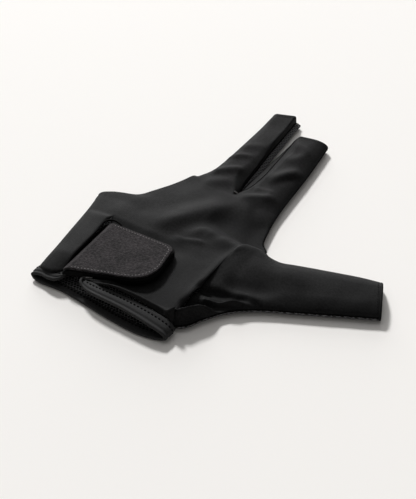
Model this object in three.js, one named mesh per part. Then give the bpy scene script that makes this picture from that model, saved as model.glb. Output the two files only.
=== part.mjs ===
// A three-finger billiard glove lying flat, back of the hand up: millimetres, +Z up.
// +Y runs from the wrist to the fingertips and +X to the thumb. The origin is on the floor under the hand.
// Each panel is cloth of an even wall: its outer face is a grid of rows, and the inner face follows it.
import * as THREE from "three";

const { clamp, lerp, mapLinear, smoothstep } = THREE.MathUtils;

// Cloth
const WALL = 1.0; // one layer of stretch cloth or knitted mesh
const BINDING_WALL = 1.8; // the folded strip round the wrist
const STITCH_GAP = 0.4; // clear width of a seam between two pieces
const SEAM_CLEARANCE = 0.9; // how far the thumb starts from the hand's seam, measured along X
const SEAM_STEP = 0.9; // how far the thumb's cloth lies below the hand's at their seam
const SEAM_HEIGHT = 3.2; // level at which back and palm meet along a closed edge
const BACK_ROUNDING = 5.0; // how far in from a closed edge the back reaches its full height
const PALM_ROUNDING = 2.5; // the same for the palm, which curls up from the floor
const PALM_SPREAD = 5; // how much wider the palm curls where a closed edge ends
const LOWEST_BACK = 6.3; // no furrow of the back goes deeper than this height
const PALM_LIP = 3.4; // how far the palm's mesh stands out beside the middle finger

// Strap
const STRAP_WALL = 1.2;
const PAD_WALL = 1.0;
const LOOP_WALL = 0.8;
const STRAP_LEFT = { x: -49.8, z: 8.0 }; // underside of the strap at its sewn end
const STRAP_SLOPE = 0.035; // the strap rises towards its free end
const STRAP_TUCK = 4; // how far the sewn end's corner is cut back, clear of the wrist's binding
const PAD_INSET = 0.8; // the pad's edge inside the strap's edge

// How finely the panels are divided
const EDGE_POINTS_PER_SECTION = 6; // a multiple of each number of rows below
const ROWS_PER_SECTION = 3;
const PALM_ROWS_PER_SECTION = 2;
const THUMB_ROWS_PER_SECTION = 2;
const LEFT_COLUMNS = 2;
const RIGHT_COLUMNS = 5;
const THUMB_COLUMNS = 7;
const BINDING_STEPS = 2;
const PATCH_STEPS = 5;
const CORNER_SEGMENTS = 8;
const ON_EDGE = 0.01; // a point this near to a closed edge lies on it
const MOST_EDGE_SHARE = 0.45; // of a narrow row, the most that each edge's columns take
const EDGE_STEPS = [0, 0.13, 0.5, 1]; // shares of the rounding's width, closest at the edge

// Sections across the hand, from the wrist to the fingertips: four points x, y, height of the cloth, and
// how far the right side bulges. The divide is the wrist's slit below slitTop and the gap between the
// fingers above fork.
const HAND_COLUMNS = ["name", "left", "divideL", "divideR", "right", "crown"];
const HAND_SECTIONS = [
  ["wrist", [-61, -56.9, 6.4], [-46.6, -56.9, 11], [-34, -56.9, 8.4], [16, -56.9, 7], 2.6],
  ["slit", [-62, -47, 6.8], [-46.9, -47, 11], [-39.5, -47, 6.7], [14.8, -47.5, 8.8], 0.2],
  ["strap", [-63.6, -33, 6.8], [-47.3, -33, 11], [-44.5, -33, 6.7], [15.8, -33, 9.4], 0],
  ["strapTop", [-65.4, -17.5, 6.8], [-48.8, -17.5, 10.9], [-47.6, -17.5, 6.9], [16.6, -17.5, 9.6], 0],
  ["slitTop", [-66.2, -11.5, 6.8], [-49, -11, 8.4], [-49, -11, 8.4], [17.2, -10, 9.4], 0],
  ["back", [-67.6, -3.5, 6.6], [-44, -3.5, 8.2], [-44, -3.5, 8.2], [18.4, -2, 9.2], 1.0],
  ["corner", [-68.7, 1.6, 5.8], [-39.5, 3, 8], [-39.5, 3, 8], [20.8, 3, 8.6], 1.4],
  ["crotch", [-62.5, 6.2, 6.2], [-35, 8.2, 8], [-35, 8.2, 8], [27.5, 9.6, 7], 1.4],
  ["notch", [-49.5, 11.6, 6.2], [-29, 14, 8], [-29, 14, 8], [23, 15.2, 6.6], 1.2],
  ["ring", [-43.8, 19.4, 6.2], [-21, 22.5, 8], [-21, 22.5, 8], [20.8, 24, 7], 0.8],
  ["knuckle", [-37.4, 31.4, 6.4], [-12.5, 32.5, 8], [-12.5, 32.5, 8], [19, 34, 7.6], 0.4],
  ["fork", [-32.6, 42, 6.8], [-8.3, 41, 7.6], [-8.3, 41, 7.6], [18, 43.5, 7.6], 0],
  ["fingerBase", [-28.6, 51, 7.6], [-9.2, 51.5, 7.6], [-6.1, 51, 7.6], [17.4, 52.5, 7.6], 0],
  ["fingerLow", [-27.2, 64, 7.6], [-9.9, 65, 7.6], [-4.2, 63, 7.6], [16.8, 65.5, 7.6], 0],
  ["fingerMid", [-26.6, 78, 7.4], [-10.8, 80, 7.4], [-3.6, 76, 7.6], [15.9, 79, 7.6], 0],
  ["fingerHigh", [-26.1, 93, 7.2], [-11.6, 96.5, 7.2], [-4.1, 87, 7.6], [14.8, 91, 7.6], 0],
  ["fingertip", [-25.7, 109.4, 7], [-12.5, 113.8, 7.2], [-4.4, 97.6, 7.4], [13.7, 102, 7.4], 0],
].map((row) => Object.fromEntries(HAND_COLUMNS.map((column, k) => [column, row[k]])));
// Sections along the thumb, from its seam on the hand to its tip: the edge by the index finger and the other.
const THUMB_SECTIONS = [
  { upper: [27.5, 9.6, 6.4], lower: [16.0, -56.9, 6.0] },
  { upper: [31.8, 7.4, 6.8], lower: [19.2, -50.0, 5.6] },
  { upper: [37.0, 7.0, 7.0], lower: [24.2, -42.5, 5.6] },
  { upper: [45.0, 9.4, 7.0], lower: [32.0, -34.0, 6.0] },
  { upper: [55.0, 12.5, 7.0], lower: [44.5, -26.4, 6.6] },
  { upper: [65.8, 15.6, 7.0], lower: [60.0, -18.6, 6.8] },
  { upper: [76.0, 18.4, 7.0], lower: [77.0, -10.2, 6.8] },
  { upper: [85.7, 20.2, 6.8], lower: [95.2, -1.3, 6.6] },
];
// Soft folds of the back and the thumb: a crest or, with a negative rise, a furrow from one place to another.
const FOLDS = [
  { name: "back crest", from: [-16, -2], to: [2, 32], width: 7, rise: 1.3 },
  { name: "thumb root crest", from: [-10, -4], to: [18, 2], width: 4.5, rise: 1.1 },
  { name: "web hollow", from: [4, 14], to: [20, 14], width: 8, rise: -1.6 },
  { name: "index crest low", from: [0, 42], to: [10, 52], width: 4, rise: 0.6 },
  { name: "index crest high", from: [6, 60], to: [14, 66], width: 3.5, rise: 0.6 },
  { name: "index furrow", from: [4, 72], to: [14, 80], width: 5, rise: -0.8 },
  { name: "middle crest", from: [-20, 66], to: [-12, 62], width: 4, rise: 0.5 },
  { name: "middle furrow", from: [-24, 52], to: [-12, 50], width: 4, rise: -0.8 },
  { name: "heel crest", from: [17.5, -53], to: [29, -38], width: 2.2, rise: 2.2 },
  { name: "heel furrow", from: [18.5, -45], to: [28, -34.5], width: 2.4, rise: -2.6 },
  { name: "thumb crest", from: [18.5, -37], to: [41, -27.5], width: 2.4, rise: 1.6 },
  { name: "thumb furrow", from: [20, -31.5], to: [40, -25.5], width: 2.4, rise: -1.2 },
];
// The wrist's binding, one strip from the slit's left side, round the palm and back to the slit's right side:
// the outer face's x and height, and its edges towards the hand and towards the arm.
const BINDING_SECTIONS = [
  { x: -44.6, z: 7.2, inner: -58.0, outer: -60.0 },
  { x: -47.4, z: 6.9, inner: -58.0, outer: -62.2 },
  { x: -51.0, z: 5.6, inner: -57.2, outer: -64.2 },
  { x: -55.5, z: 6.2, inner: -57.2, outer: -64.4 },
  { x: -59.6, z: 5.4, inner: -57.2, outer: -63.6 },
  { x: -61.4, z: 3.0, inner: -57.2, outer: -63.0 },
  { x: -59.6, z: 0.3, inner: -57.2, outer: -63.6 },
  { x: -56.0, z: 0.0, inner: -57.2, outer: -64.3 },
  { x: -44.0, z: 0.0, inner: -57.2, outer: -63.4 },
  { x: -29.0, z: 0.0, inner: -57.2, outer: -64.9 },
  { x: -13.0, z: 0.0, inner: -57.2, outer: -66.9 },
  { x: 1.0, z: 0.0, inner: -57.2, outer: -67.7 },
  { x: 10.5, z: 0.0, inner: -57.2, outer: -66.7 },
  { x: 15.4, z: 0.3, inner: -57.2, outer: -65.4 },
  { x: 18.2, z: 2.8, inner: -57.2, outer: -64.9 },
  { x: 15.8, z: 5.6, inner: -57.2, outer: -65.2 },
  { x: 9.0, z: 8.4, inner: -57.2, outer: -65.1 },
  { x: 0.0, z: 10.0, inner: -57.2, outer: -64.5 },
  { x: -10.0, z: 10.4, inner: -57.2, outer: -63.8 },
  { x: -20.0, z: 10.1, inner: -57.2, outer: -63.4 },
  { x: -28.0, z: 9.4, inner: -57.2, outer: -62.8 },
  { x: -33.6, z: 8.6, inner: -57.2, outer: -60.4 },
];
// The pad's outline from above: straight sides, of which the free one leans, and two rounded corners.
const PAD = {
  left: -46.1,
  right: -5.4,
  lean: 1.5,
  top: -18.4,
  bottomLeft: -57.6,
  bottomRight: -44.9,
  cornerTop: 5,
  cornerBottom: 11,
};
const LOOP_PATCH = { left: -38, right: -12, bottom: -46, top: -22 };

const sectionIndex = (name) => HAND_SECTIONS.findIndex((section) => section.name === name);
const SLIT_TOP = sectionIndex("slitTop");
const CORNER = sectionIndex("corner");
const CROTCH = sectionIndex("crotch");
const FORK = sectionIndex("fork");
const TIP = HAND_SECTIONS.length - 1;
const THUMB_TIP = THUMB_SECTIONS.length - 1;

// A smooth value between sections that never swings past them: a slope is the harmonic mean of the steps
// beside it.
function between(values, t) {
  const i = Math.min(Math.floor(t), values.length - 2);
  const step = (k) => values[k + 1] - values[k];
  const slope = (k) => {
    if (k === 0) return step(0);
    if (k === values.length - 1) return step(k - 1);
    const [before, after] = [step(k - 1), step(k)];
    return before * after > 0 ? (2 * before * after) / (before + after) : 0;
  };
  const [u, u2, u3] = [t - i, (t - i) ** 2, (t - i) ** 3];
  const ends = values[i] * (2 * u3 - 3 * u2 + 1) + values[i + 1] * (3 * u2 - 2 * u3);
  return ends + slope(i) * (u3 - 2 * u2 + u) + slope(i + 1) * (u3 - u2);
}

// A named point of the sections, such as left or upper, at any place t along them.
function along(sections, column, t) {
  const values = (k) => sections.map((section) => section[column][k]);
  return new THREE.Vector3(...[0, 1, 2].map((k) => between(values(k), t)));
}

function line(sections, column, from, to, lip = 0) {
  return steps(from, to, EDGE_POINTS_PER_SECTION).map((t) => {
    const point = along(sections, column, t);
    point.x += lip * lipShare(t);
    return point;
  });
}

// The lip beside the middle finger grows from nothing at the fork to its full width two sections on.
function lipShare(t) {
  return smoothstep(t, FORK, FORK + 2);
}

// The closed edges, seen from above, for the back (lip 0) and for the palm (lip PALM_LIP).
function closedEdges(lip) {
  return [
    line(HAND_SECTIONS, "left", 0, CORNER),
    line(HAND_SECTIONS, "left", FORK, TIP),
    line(HAND_SECTIONS, "divideL", FORK, TIP, lip),
    line(HAND_SECTIONS, "divideR", FORK, TIP),
    line(HAND_SECTIONS, "right", CROTCH, TIP),
    line(THUMB_SECTIONS, "upper", 0, THUMB_TIP),
    line(THUMB_SECTIONS, "lower", 0, THUMB_TIP),
  ];
}

function distanceToSegment(x, y, ax, ay, bx, by) {
  const [dx, dy] = [bx - ax, by - ay];
  const share = clamp(((x - ax) * dx + (y - ay) * dy) / (dx * dx + dy * dy), 0, 1);
  return Math.hypot(x - ax - share * dx, y - ay - share * dy);
}

function distanceToEdges(edges, x, y) {
  let least = Infinity;
  for (const edge of edges)
    for (let i = 1; i < edge.length; i++)
      least = Math.min(least, distanceToSegment(x, y, edge[i - 1].x, edge[i - 1].y, edge[i].x, edge[i].y));
  return least;
}

// A quarter of an ellipse: 0 at a closed edge and 1 from the rounding's width inwards.
function rounding(distance, width) {
  return Math.sqrt(1 - (1 - Math.min(distance / width, 1)) ** 2);
}

function foldRise(x, y) {
  return FOLDS.reduce((sum, { from, to, width, rise }) => {
    return sum + rise * Math.exp(-((distanceToSegment(x, y, ...from, ...to) / width) ** 2));
  }, 0);
}

const BACK_EDGES = closedEdges(0);
const PALM_EDGES = closedEdges(PALM_LIP);
const EDGE_ENDS = [
  along(HAND_SECTIONS, "left", CORNER),
  along(HAND_SECTIONS, "left", FORK),
  along(HAND_SECTIONS, "divideL", FORK),
];

// The point of the back's outer face at a place on the floor where the cloth's full height is given.
// Its wall isn't laid off along the axes named in flat, so that neighbouring pieces' edges stay apart.
function backPoint(x, y, fullHeight) {
  const distance = distanceToEdges(BACK_EDGES, x, y);
  const low = SEAM_HEIGHT + STITCH_GAP / 2;
  const height = Math.max(fullHeight + foldRise(x, y), LOWEST_BACK);
  const z = low + (height - low) * rounding(distance, BACK_ROUNDING);
  return { position: new THREE.Vector3(x, y, z), flat: distance < ON_EDGE ? "z" : "" };
}

function palmPoint(x, y) {
  const distance = distanceToEdges(PALM_EDGES, x, y);
  const toEnd = Math.min(...EDGE_ENDS.map((end) => Math.hypot(x - end.x, y - end.y)));
  const width = PALM_ROUNDING + PALM_SPREAD * Math.exp(-((toEnd / PALM_SPREAD) ** 2));
  const z = (SEAM_HEIGHT - STITCH_GAP / 2) * (1 - rounding(distance, width));
  return { position: new THREE.Vector3(x, y, z), flat: distance < ON_EDGE ? "z" : "" };
}

// Shares of a width at which columns stand: close together by both edges, even between.
function columnShares(width, columns) {
  const edge = Math.min(BACK_ROUNDING / width, MOST_EDGE_SHARE);
  const near = EDGE_STEPS.map((step) => step * edge);
  const middle = Array.from({ length: columns - 1 }, (_, i) => edge + ((1 - 2 * edge) * (i + 1)) / columns);
  return [...near, ...middle, ...near.map((share) => 1 - share).reverse()];
}

function steps(from, to, perSection) {
  const count = Math.round((to - from) * perSection);
  return Array.from({ length: count + 1 }, (_, i) => from + ((to - from) * i) / count);
}

// The cloth's full height across a row: it bends by the divide on the left and by the thumb on the right.
function heightAcross(side, t, start, end, share) {
  const crowns = HAND_SECTIONS.map((section) => section.crown);
  const bend = side === "left" ? 1 - (1 - share) ** 2 : share ** 2;
  const crown = side === "left" ? 0 : between(crowns, t) * Math.sin(Math.PI * share) ** 2;
  return lerp(start.z, end.z, bend) + crown;
}

// One side of the hand, left or right of the divide, as rows of points.
function handGrid(side, perSection, place) {
  return steps(0, TIP, perSection).map((t) => {
    const sewn = t >= SLIT_TOP && t <= FORK;
    const divide = side === "left" || sewn ? "divideL" : "divideR";
    const start = along(HAND_SECTIONS, side === "left" ? "left" : divide, t);
    const end = along(HAND_SECTIONS, side === "left" ? divide : "right", t);
    const row = place(t, start, end);
    if (t === 0) row.forEach((point) => (point.flat += "y"));
    if (side === "right" && t > 0 && t < CROTCH) row.at(-1).flat += "x";
    return row;
  });
}

function rowPoints(start, end, columns, pointAt) {
  const width = Math.hypot(end.x - start.x, end.y - start.y);
  return columnShares(width, columns).map((share) =>
    pointAt(lerp(start.x, end.x, share), lerp(start.y, end.y, share), share),
  );
}

function backGrid(side, columns) {
  return handGrid(side, ROWS_PER_SECTION, (t, start, end) => {
    const pointAt = (x, y, share) => backPoint(x, y, heightAcross(side, t, start, end, share));
    return rowPoints(start, end, columns, pointAt);
  });
}

// The palm has no slit, so below slitTop both its sides meet halfway across the slit.
function palmGrid(side, columns) {
  return handGrid(side, PALM_ROWS_PER_SECTION, (t, start, end) => {
    if (t < SLIT_TOP) {
      const middle = along(HAND_SECTIONS, "divideL", t).lerp(along(HAND_SECTIONS, "divideR", t), 0.5);
      (side === "left" ? end : start).copy(middle);
    }
    if (side === "left") end.x += PALM_LIP * lipShare(t);
    return rowPoints(start, end, columns, palmPoint);
  });
}

// The thumb's rows start beside the hand's seam and straighten towards the tip.
function thumbGrid(perSection, pointAt) {
  const seam = (share) => along(HAND_SECTIONS, "right", CROTCH * (1 - share));
  const seamTop = seam(0);
  const seamBottom = seam(1);
  return steps(0, THUMB_TIP, perSection).map((t) => {
    const upper = along(THUMB_SECTIONS, "upper", t);
    const lower = along(THUMB_SECTIONS, "lower", t);
    const left = (1 - t / THUMB_TIP) ** 3;
    return columnShares(upper.distanceTo(lower), THUMB_COLUMNS).map((share) => {
      const chord = seamTop.clone().lerp(seamBottom, share);
      const bow = seam(share).sub(chord);
      const place = upper.clone().lerp(lower, share);
      const point = pointAt(place.x + bow.x * left, place.y + bow.y * left, seam(share).z, place.z, t);
      point.position.x += SEAM_CLEARANCE * left;
      if (t === 0) point.flat += "x";
      return point;
    });
  });
}

// A closed solid of even wall from grids of points on its outer face; shared edges of two grids are welded.
function shell(grids, wall, facing = 1) {
  const points = [];
  const flats = [];
  const known = new Map();
  const indexOf = ({ position, flat }) => {
    const key = position.toArray().map((value) => Math.round(value * 1000)).join();
    if (!known.has(key)) {
      known.set(key, points.length);
      points.push(position);
      flats.push(flat);
    }
    return known.get(key);
  };
  const triangles = [];
  for (const grid of grids)
    for (let i = 1; i < grid.length; i++)
      for (let j = 1; j < grid[i].length; j++) {
        const corners = [grid[i - 1][j - 1], grid[i - 1][j], grid[i][j], grid[i][j - 1]].map(indexOf);
        const [a, b, c, d] = facing > 0 ? corners : corners.reverse();
        const across = points[a].distanceTo(points[c]) <= points[b].distanceTo(points[d]);
        triangles.push(...(across ? [[a, b, c], [a, c, d]] : [[a, b, d], [b, c, d]]));
      }
  const solid = triangles.filter(([a, b, c]) => a !== b && b !== c && a !== c);
  const normals = points.map(() => new THREE.Vector3());
  for (const [a, b, c] of solid) {
    const side = points[b].clone().sub(points[a]);
    const face = side.cross(points[c].clone().sub(points[a]));
    [a, b, c].forEach((k) => normals[k].add(face));
  }
  normals.forEach((normal, k) => {
    for (const axis of flats[k]) normal[axis] = 0;
    normal.normalize();
  });
  const inner = points.map((point, k) => point.clone().addScaledVector(normals[k], -wall));
  const count = points.length;
  const edges = new Set(solid.flatMap(([a, b, c]) => [`${a},${b}`, `${b},${c}`, `${c},${a}`]));
  const index = [];
  for (const [a, b, c] of solid) index.push(a, b, c, count + a, count + c, count + b);
  for (const edge of edges) {
    const [a, b] = edge.split(",").map(Number);
    if (!edges.has(`${b},${a}`)) index.push(b, a, count + a, b, count + a, count + b);
  }
  const geometry = new THREE.BufferGeometry();
  const positions = [...points, ...inner].flatMap((point) => point.toArray());
  geometry.setAttribute("position", new THREE.Float32BufferAttribute(positions, 3));
  geometry.setIndex(index);
  geometry.computeVertexNormals();
  return geometry;
}

function backPanel() {
  return shell([backGrid("left", LEFT_COLUMNS), backGrid("right", RIGHT_COLUMNS)], WALL);
}

function palmPanel() {
  return shell([palmGrid("left", LEFT_COLUMNS), palmGrid("right", RIGHT_COLUMNS)], WALL, -1);
}

// The thumb's rows run to the right, so their points are taken from the near edge up.
function thumbBack() {
  const grid = thumbGrid(THUMB_ROWS_PER_SECTION, (x, y, seamHeight, height, t) => {
    const share = smoothstep(t, 0, 3);
    return backPoint(x, y, lerp(seamHeight - SEAM_STEP, height, share));
  });
  return shell([grid], WALL);
}

function thumbPalm() {
  const grid = thumbGrid(THUMB_ROWS_PER_SECTION, palmPoint);
  return shell([grid], WALL, -1);
}

function wristBinding() {
  const column = (name) => BINDING_SECTIONS.map((section) => section[name]);
  const [xs, zs, inners, outers] = ["x", "z", "inner", "outer"].map(column);
  const grid = steps(0, BINDING_SECTIONS.length - 1, BINDING_STEPS).map((t) =>
    [0, 0.5, 1].map((share) => {
      const y = lerp(between(inners, t), between(outers, t), share);
      return { position: new THREE.Vector3(between(xs, t), y, between(zs, t)), flat: "y" };
    }),
  );
  return shell([grid], BINDING_WALL, -1);
}

// The pad's outline from above, or the strap's: a margin wider, with its sewn end further left.
function tabShape(margin, left) {
  const [top, right] = [PAD.top + margin, PAD.right + margin];
  const bottomAt = (x) => mapLinear(x, PAD.left, PAD.right, PAD.bottomLeft, PAD.bottomRight) - margin;
  const turn = right - PAD.cornerBottom;
  const shape = new THREE.Shape();
  shape.moveTo(left, top);
  if (left < PAD.left) shape.lineTo(left, bottomAt(PAD.left) + STRAP_TUCK);
  shape.lineTo(PAD.left, bottomAt(PAD.left));
  shape.lineTo(turn, bottomAt(turn));
  shape.quadraticCurveTo(right, bottomAt(right), right, bottomAt(right) + PAD.cornerBottom);
  shape.lineTo(right - PAD.lean, top - PAD.cornerTop);
  shape.quadraticCurveTo(right - PAD.lean, top, right - PAD.lean - PAD.cornerTop, top);
  shape.closePath();
  return shape;
}

function tab(margin, left, wall) {
  const settings = { depth: wall, bevelEnabled: false, curveSegments: CORNER_SEGMENTS };
  return new THREE.ExtrudeGeometry(tabShape(margin, left), settings);
}

// The loop patch is sewn on the back under the strap and follows the cloth.
function loopPatch() {
  const rise = STITCH_GAP + LOOP_WALL;
  const grid = steps(0, 1, PATCH_STEPS).map((v) =>
    steps(0, 1, PATCH_STEPS).map((u) => {
      const x = lerp(LOOP_PATCH.left, LOOP_PATCH.right, u);
      const y = lerp(LOOP_PATCH.bottom, LOOP_PATCH.top, v);
      return { position: new THREE.Vector3(x, y, backHeight(x, y) + rise), flat: "" };
    }),
  );
  return shell([grid], LOOP_WALL);
}

// The back's height at a place under the strap, from the nearest row of the hand's right side.
function backHeight(x, y) {
  const rows = steps(0, SLIT_TOP, EDGE_POINTS_PER_SECTION * EDGE_POINTS_PER_SECTION);
  const off = (t) => Math.abs(along(HAND_SECTIONS, "right", t).y - y);
  const t = rows.reduce((best, row) => (off(row) < off(best) ? row : best));
  const start = along(HAND_SECTIONS, "divideR", t);
  const end = along(HAND_SECTIONS, "right", t);
  const share = clamp((x - start.x) / (end.x - start.x), 0, 1);
  return backPoint(x, y, heightAcross("right", t, start, end, share)).position.z;
}

const stretchCloth = new THREE.MeshStandardMaterial({ color: 0x2a2a2b, roughness: 0.78, metalness: 0 });
const meshKnit = new THREE.MeshStandardMaterial({ color: 0x1d1d1f, roughness: 0.9, metalness: 0 });
const bindingCloth = new THREE.MeshStandardMaterial({ color: 0x2f2f31, roughness: 0.82, metalness: 0 });
const strapWebbing = new THREE.MeshStandardMaterial({ color: 0x0e0e0f, roughness: 0.6, metalness: 0 });
const padCloth = new THREE.MeshStandardMaterial({ color: 0x37333a, roughness: 0.95, metalness: 0 });
const loopCloth = new THREE.MeshStandardMaterial({ color: 0x161617, roughness: 1, metalness: 0 });

const glove = new THREE.Group();

function add(name, geometry, material, parent = glove) {
  const mesh = new THREE.Mesh(geometry, material);
  mesh.name = name;
  parent.add(mesh);
  return mesh;
}

add("back_panel", backPanel(), stretchCloth);
add("palm_panel", palmPanel(), meshKnit);
add("thumb_back", thumbBack(), stretchCloth);
add("thumb_palm", thumbPalm(), meshKnit);
add("wrist_binding", wristBinding(), bindingCloth);
add("loop_patch", loopPatch(), loopCloth);

// The strap and its pad lie on one slope that turns about the strap's sewn end.
const strap = new THREE.Group();
strap.position.set(STRAP_LEFT.x, 0, STRAP_LEFT.z);
strap.rotation.y = -Math.atan(STRAP_SLOPE);
glove.add(strap);
const strapBase = add("strap_base", tab(PAD_INSET, STRAP_LEFT.x, STRAP_WALL), strapWebbing, strap);
strapBase.position.x = -STRAP_LEFT.x;
const strapPad = add("strap_pad", tab(0, PAD.left, PAD_WALL), padCloth, strap);
strapPad.position.set(-STRAP_LEFT.x, 0, STRAP_WALL + STITCH_GAP);

export default glove;
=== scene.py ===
"""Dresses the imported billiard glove: cloth panels, knitted mesh, wrist binding, strap, seams and stitches.

Positions and sizes are in millimetres in the glove's own frame and become metres as each mesh is made:
+Y runs from the wrist to the fingertips, +X to the thumb and +Z up out of the back of the hand.
"""

import math

import bmesh
import bpy
import numpy as np
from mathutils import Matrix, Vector


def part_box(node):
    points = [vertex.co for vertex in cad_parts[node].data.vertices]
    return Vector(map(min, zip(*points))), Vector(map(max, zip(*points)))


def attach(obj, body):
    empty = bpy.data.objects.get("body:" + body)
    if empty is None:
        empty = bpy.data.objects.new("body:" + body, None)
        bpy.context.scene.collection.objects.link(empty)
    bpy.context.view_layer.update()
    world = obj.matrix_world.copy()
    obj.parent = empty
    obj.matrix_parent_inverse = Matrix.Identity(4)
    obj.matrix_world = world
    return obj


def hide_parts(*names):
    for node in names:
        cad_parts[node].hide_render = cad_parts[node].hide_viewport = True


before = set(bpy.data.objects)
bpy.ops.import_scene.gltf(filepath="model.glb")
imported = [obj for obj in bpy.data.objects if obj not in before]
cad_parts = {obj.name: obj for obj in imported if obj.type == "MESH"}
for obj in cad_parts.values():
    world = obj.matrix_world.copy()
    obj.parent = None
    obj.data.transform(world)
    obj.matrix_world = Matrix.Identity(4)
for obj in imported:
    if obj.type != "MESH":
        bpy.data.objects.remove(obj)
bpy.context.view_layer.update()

bl_info = {
    "name": "Billiard Glove",
    "version": (1, 0, 0),
    "blender": (4, 5, 0),
    "location": "View3D > Sidebar > Glove",
    "description": "Cloth, mesh, binding and strap of a flat-lying billiard glove",
    "category": "Object",
}

MM = 0.001

# Sections across the hand, from the wrist to the fingertips: the points left, divide_l, divide_r and right as
# x, y and the cloth's height, and how far the right side bulges. The divide is the wrist's slit below
# slit_top and the gap between the fingers above fork.
HAND_SECTIONS = [
    ("wrist", (-61, -56.9, 6.4), (-46.2, -56.9, 7.9), (-34, -56.9, 8.4), (16, -56.9, 7), 2.6),
    ("slit", (-62, -47, 6.8), (-46.9, -47, 11), (-39.5, -47, 6.7), (14.8, -47.5, 8.8), 0.2),
    ("strap", (-63.6, -33, 6.8), (-47.3, -33, 11), (-44.5, -33, 6.7), (15.8, -33, 9.4), 0),
    ("strap_top", (-65.4, -17.5, 6.8), (-48.8, -17.5, 10.9), (-47.6, -17.5, 6.9), (16.6, -17.5, 9.6), 0),
    ("slit_top", (-66.2, -11.5, 6.8), (-49, -11, 8.4), (-49, -11, 8.4), (17.2, -10, 9.4), 0),
    ("back", (-67.6, -3.5, 6.6), (-44, -3.5, 8.2), (-44, -3.5, 8.2), (18.4, -2, 9.2), 1),
    ("corner", (-68.7, 1.6, 5.8), (-39.5, 3, 8), (-39.5, 3, 8), (20.8, 3, 8.6), 1.4),
    ("crotch", (-62.5, 6.2, 6.2), (-35, 8.2, 8), (-35, 8.2, 8), (27.5, 9.6, 7), 1.4),
    ("notch", (-49.5, 11.6, 6.2), (-29, 14, 8), (-29, 14, 8), (23, 15.2, 6.6), 1.2),
    ("ring", (-43.8, 19.4, 6.2), (-21, 22.5, 8), (-21, 22.5, 8), (20.8, 24, 7), 0.8),
    ("knuckle", (-37.4, 31.4, 6.4), (-12.5, 32.5, 8), (-12.5, 32.5, 8), (19, 34, 7.6), 0.4),
    ("fork", (-32.6, 42, 6.8), (-6.5, 37.4, 7.6), (-6.5, 37.4, 7.6), (18, 43.5, 7.6), 0),
    ("finger_base", (-28.6, 51, 7.6), (-8.6, 50.5, 7.6), (-6.9, 49.5, 7.6), (17.4, 52.5, 7.6), 0),
    ("finger_low", (-27.2, 64, 7.6), (-9.5, 65, 7.6), (-6.3, 63, 7.6), (16.8, 65.5, 7.6), 0),
    ("finger_mid", (-26.6, 78, 7.4), (-10.8, 80, 7.4), (-5.7, 76, 7.6), (15.9, 79, 7.6), 0),
    ("finger_high", (-26.1, 93, 7.2), (-11.6, 96.5, 7.2), (-5.0, 87, 7.6), (14.8, 91, 7.6), 0),
    ("fingertip", (-25.7, 109.4, 7), (-12.5, 113.8, 7.2), (-4.6, 97.6, 7.4), (13.7, 102, 7.4), 0),
]
# Sections of the thumb, from its seam on the hand to its tip: the upper and the lower edge.
THUMB_SECTIONS = [
    ((27.5, 9.6, 6.4), (16, -56.9, 6)),
    ((31.8, 7.4, 6.8), (21.2, -53.2, 5.6)),
    ((37, 7, 7), (25.8, -45, 5.6)),
    ((45, 9.4, 7), (32.8, -35.4, 6)),
    ((55, 12.5, 7), (44.5, -26.4, 6.6)),
    ((65.8, 15.6, 7), (60, -18.6, 6.8)),
    ((76, 18.4, 7), (77, -10.2, 6.8)),
    ((85.7, 20.2, 6.8), (95.2, -1.3, 6.6)),
]
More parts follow.
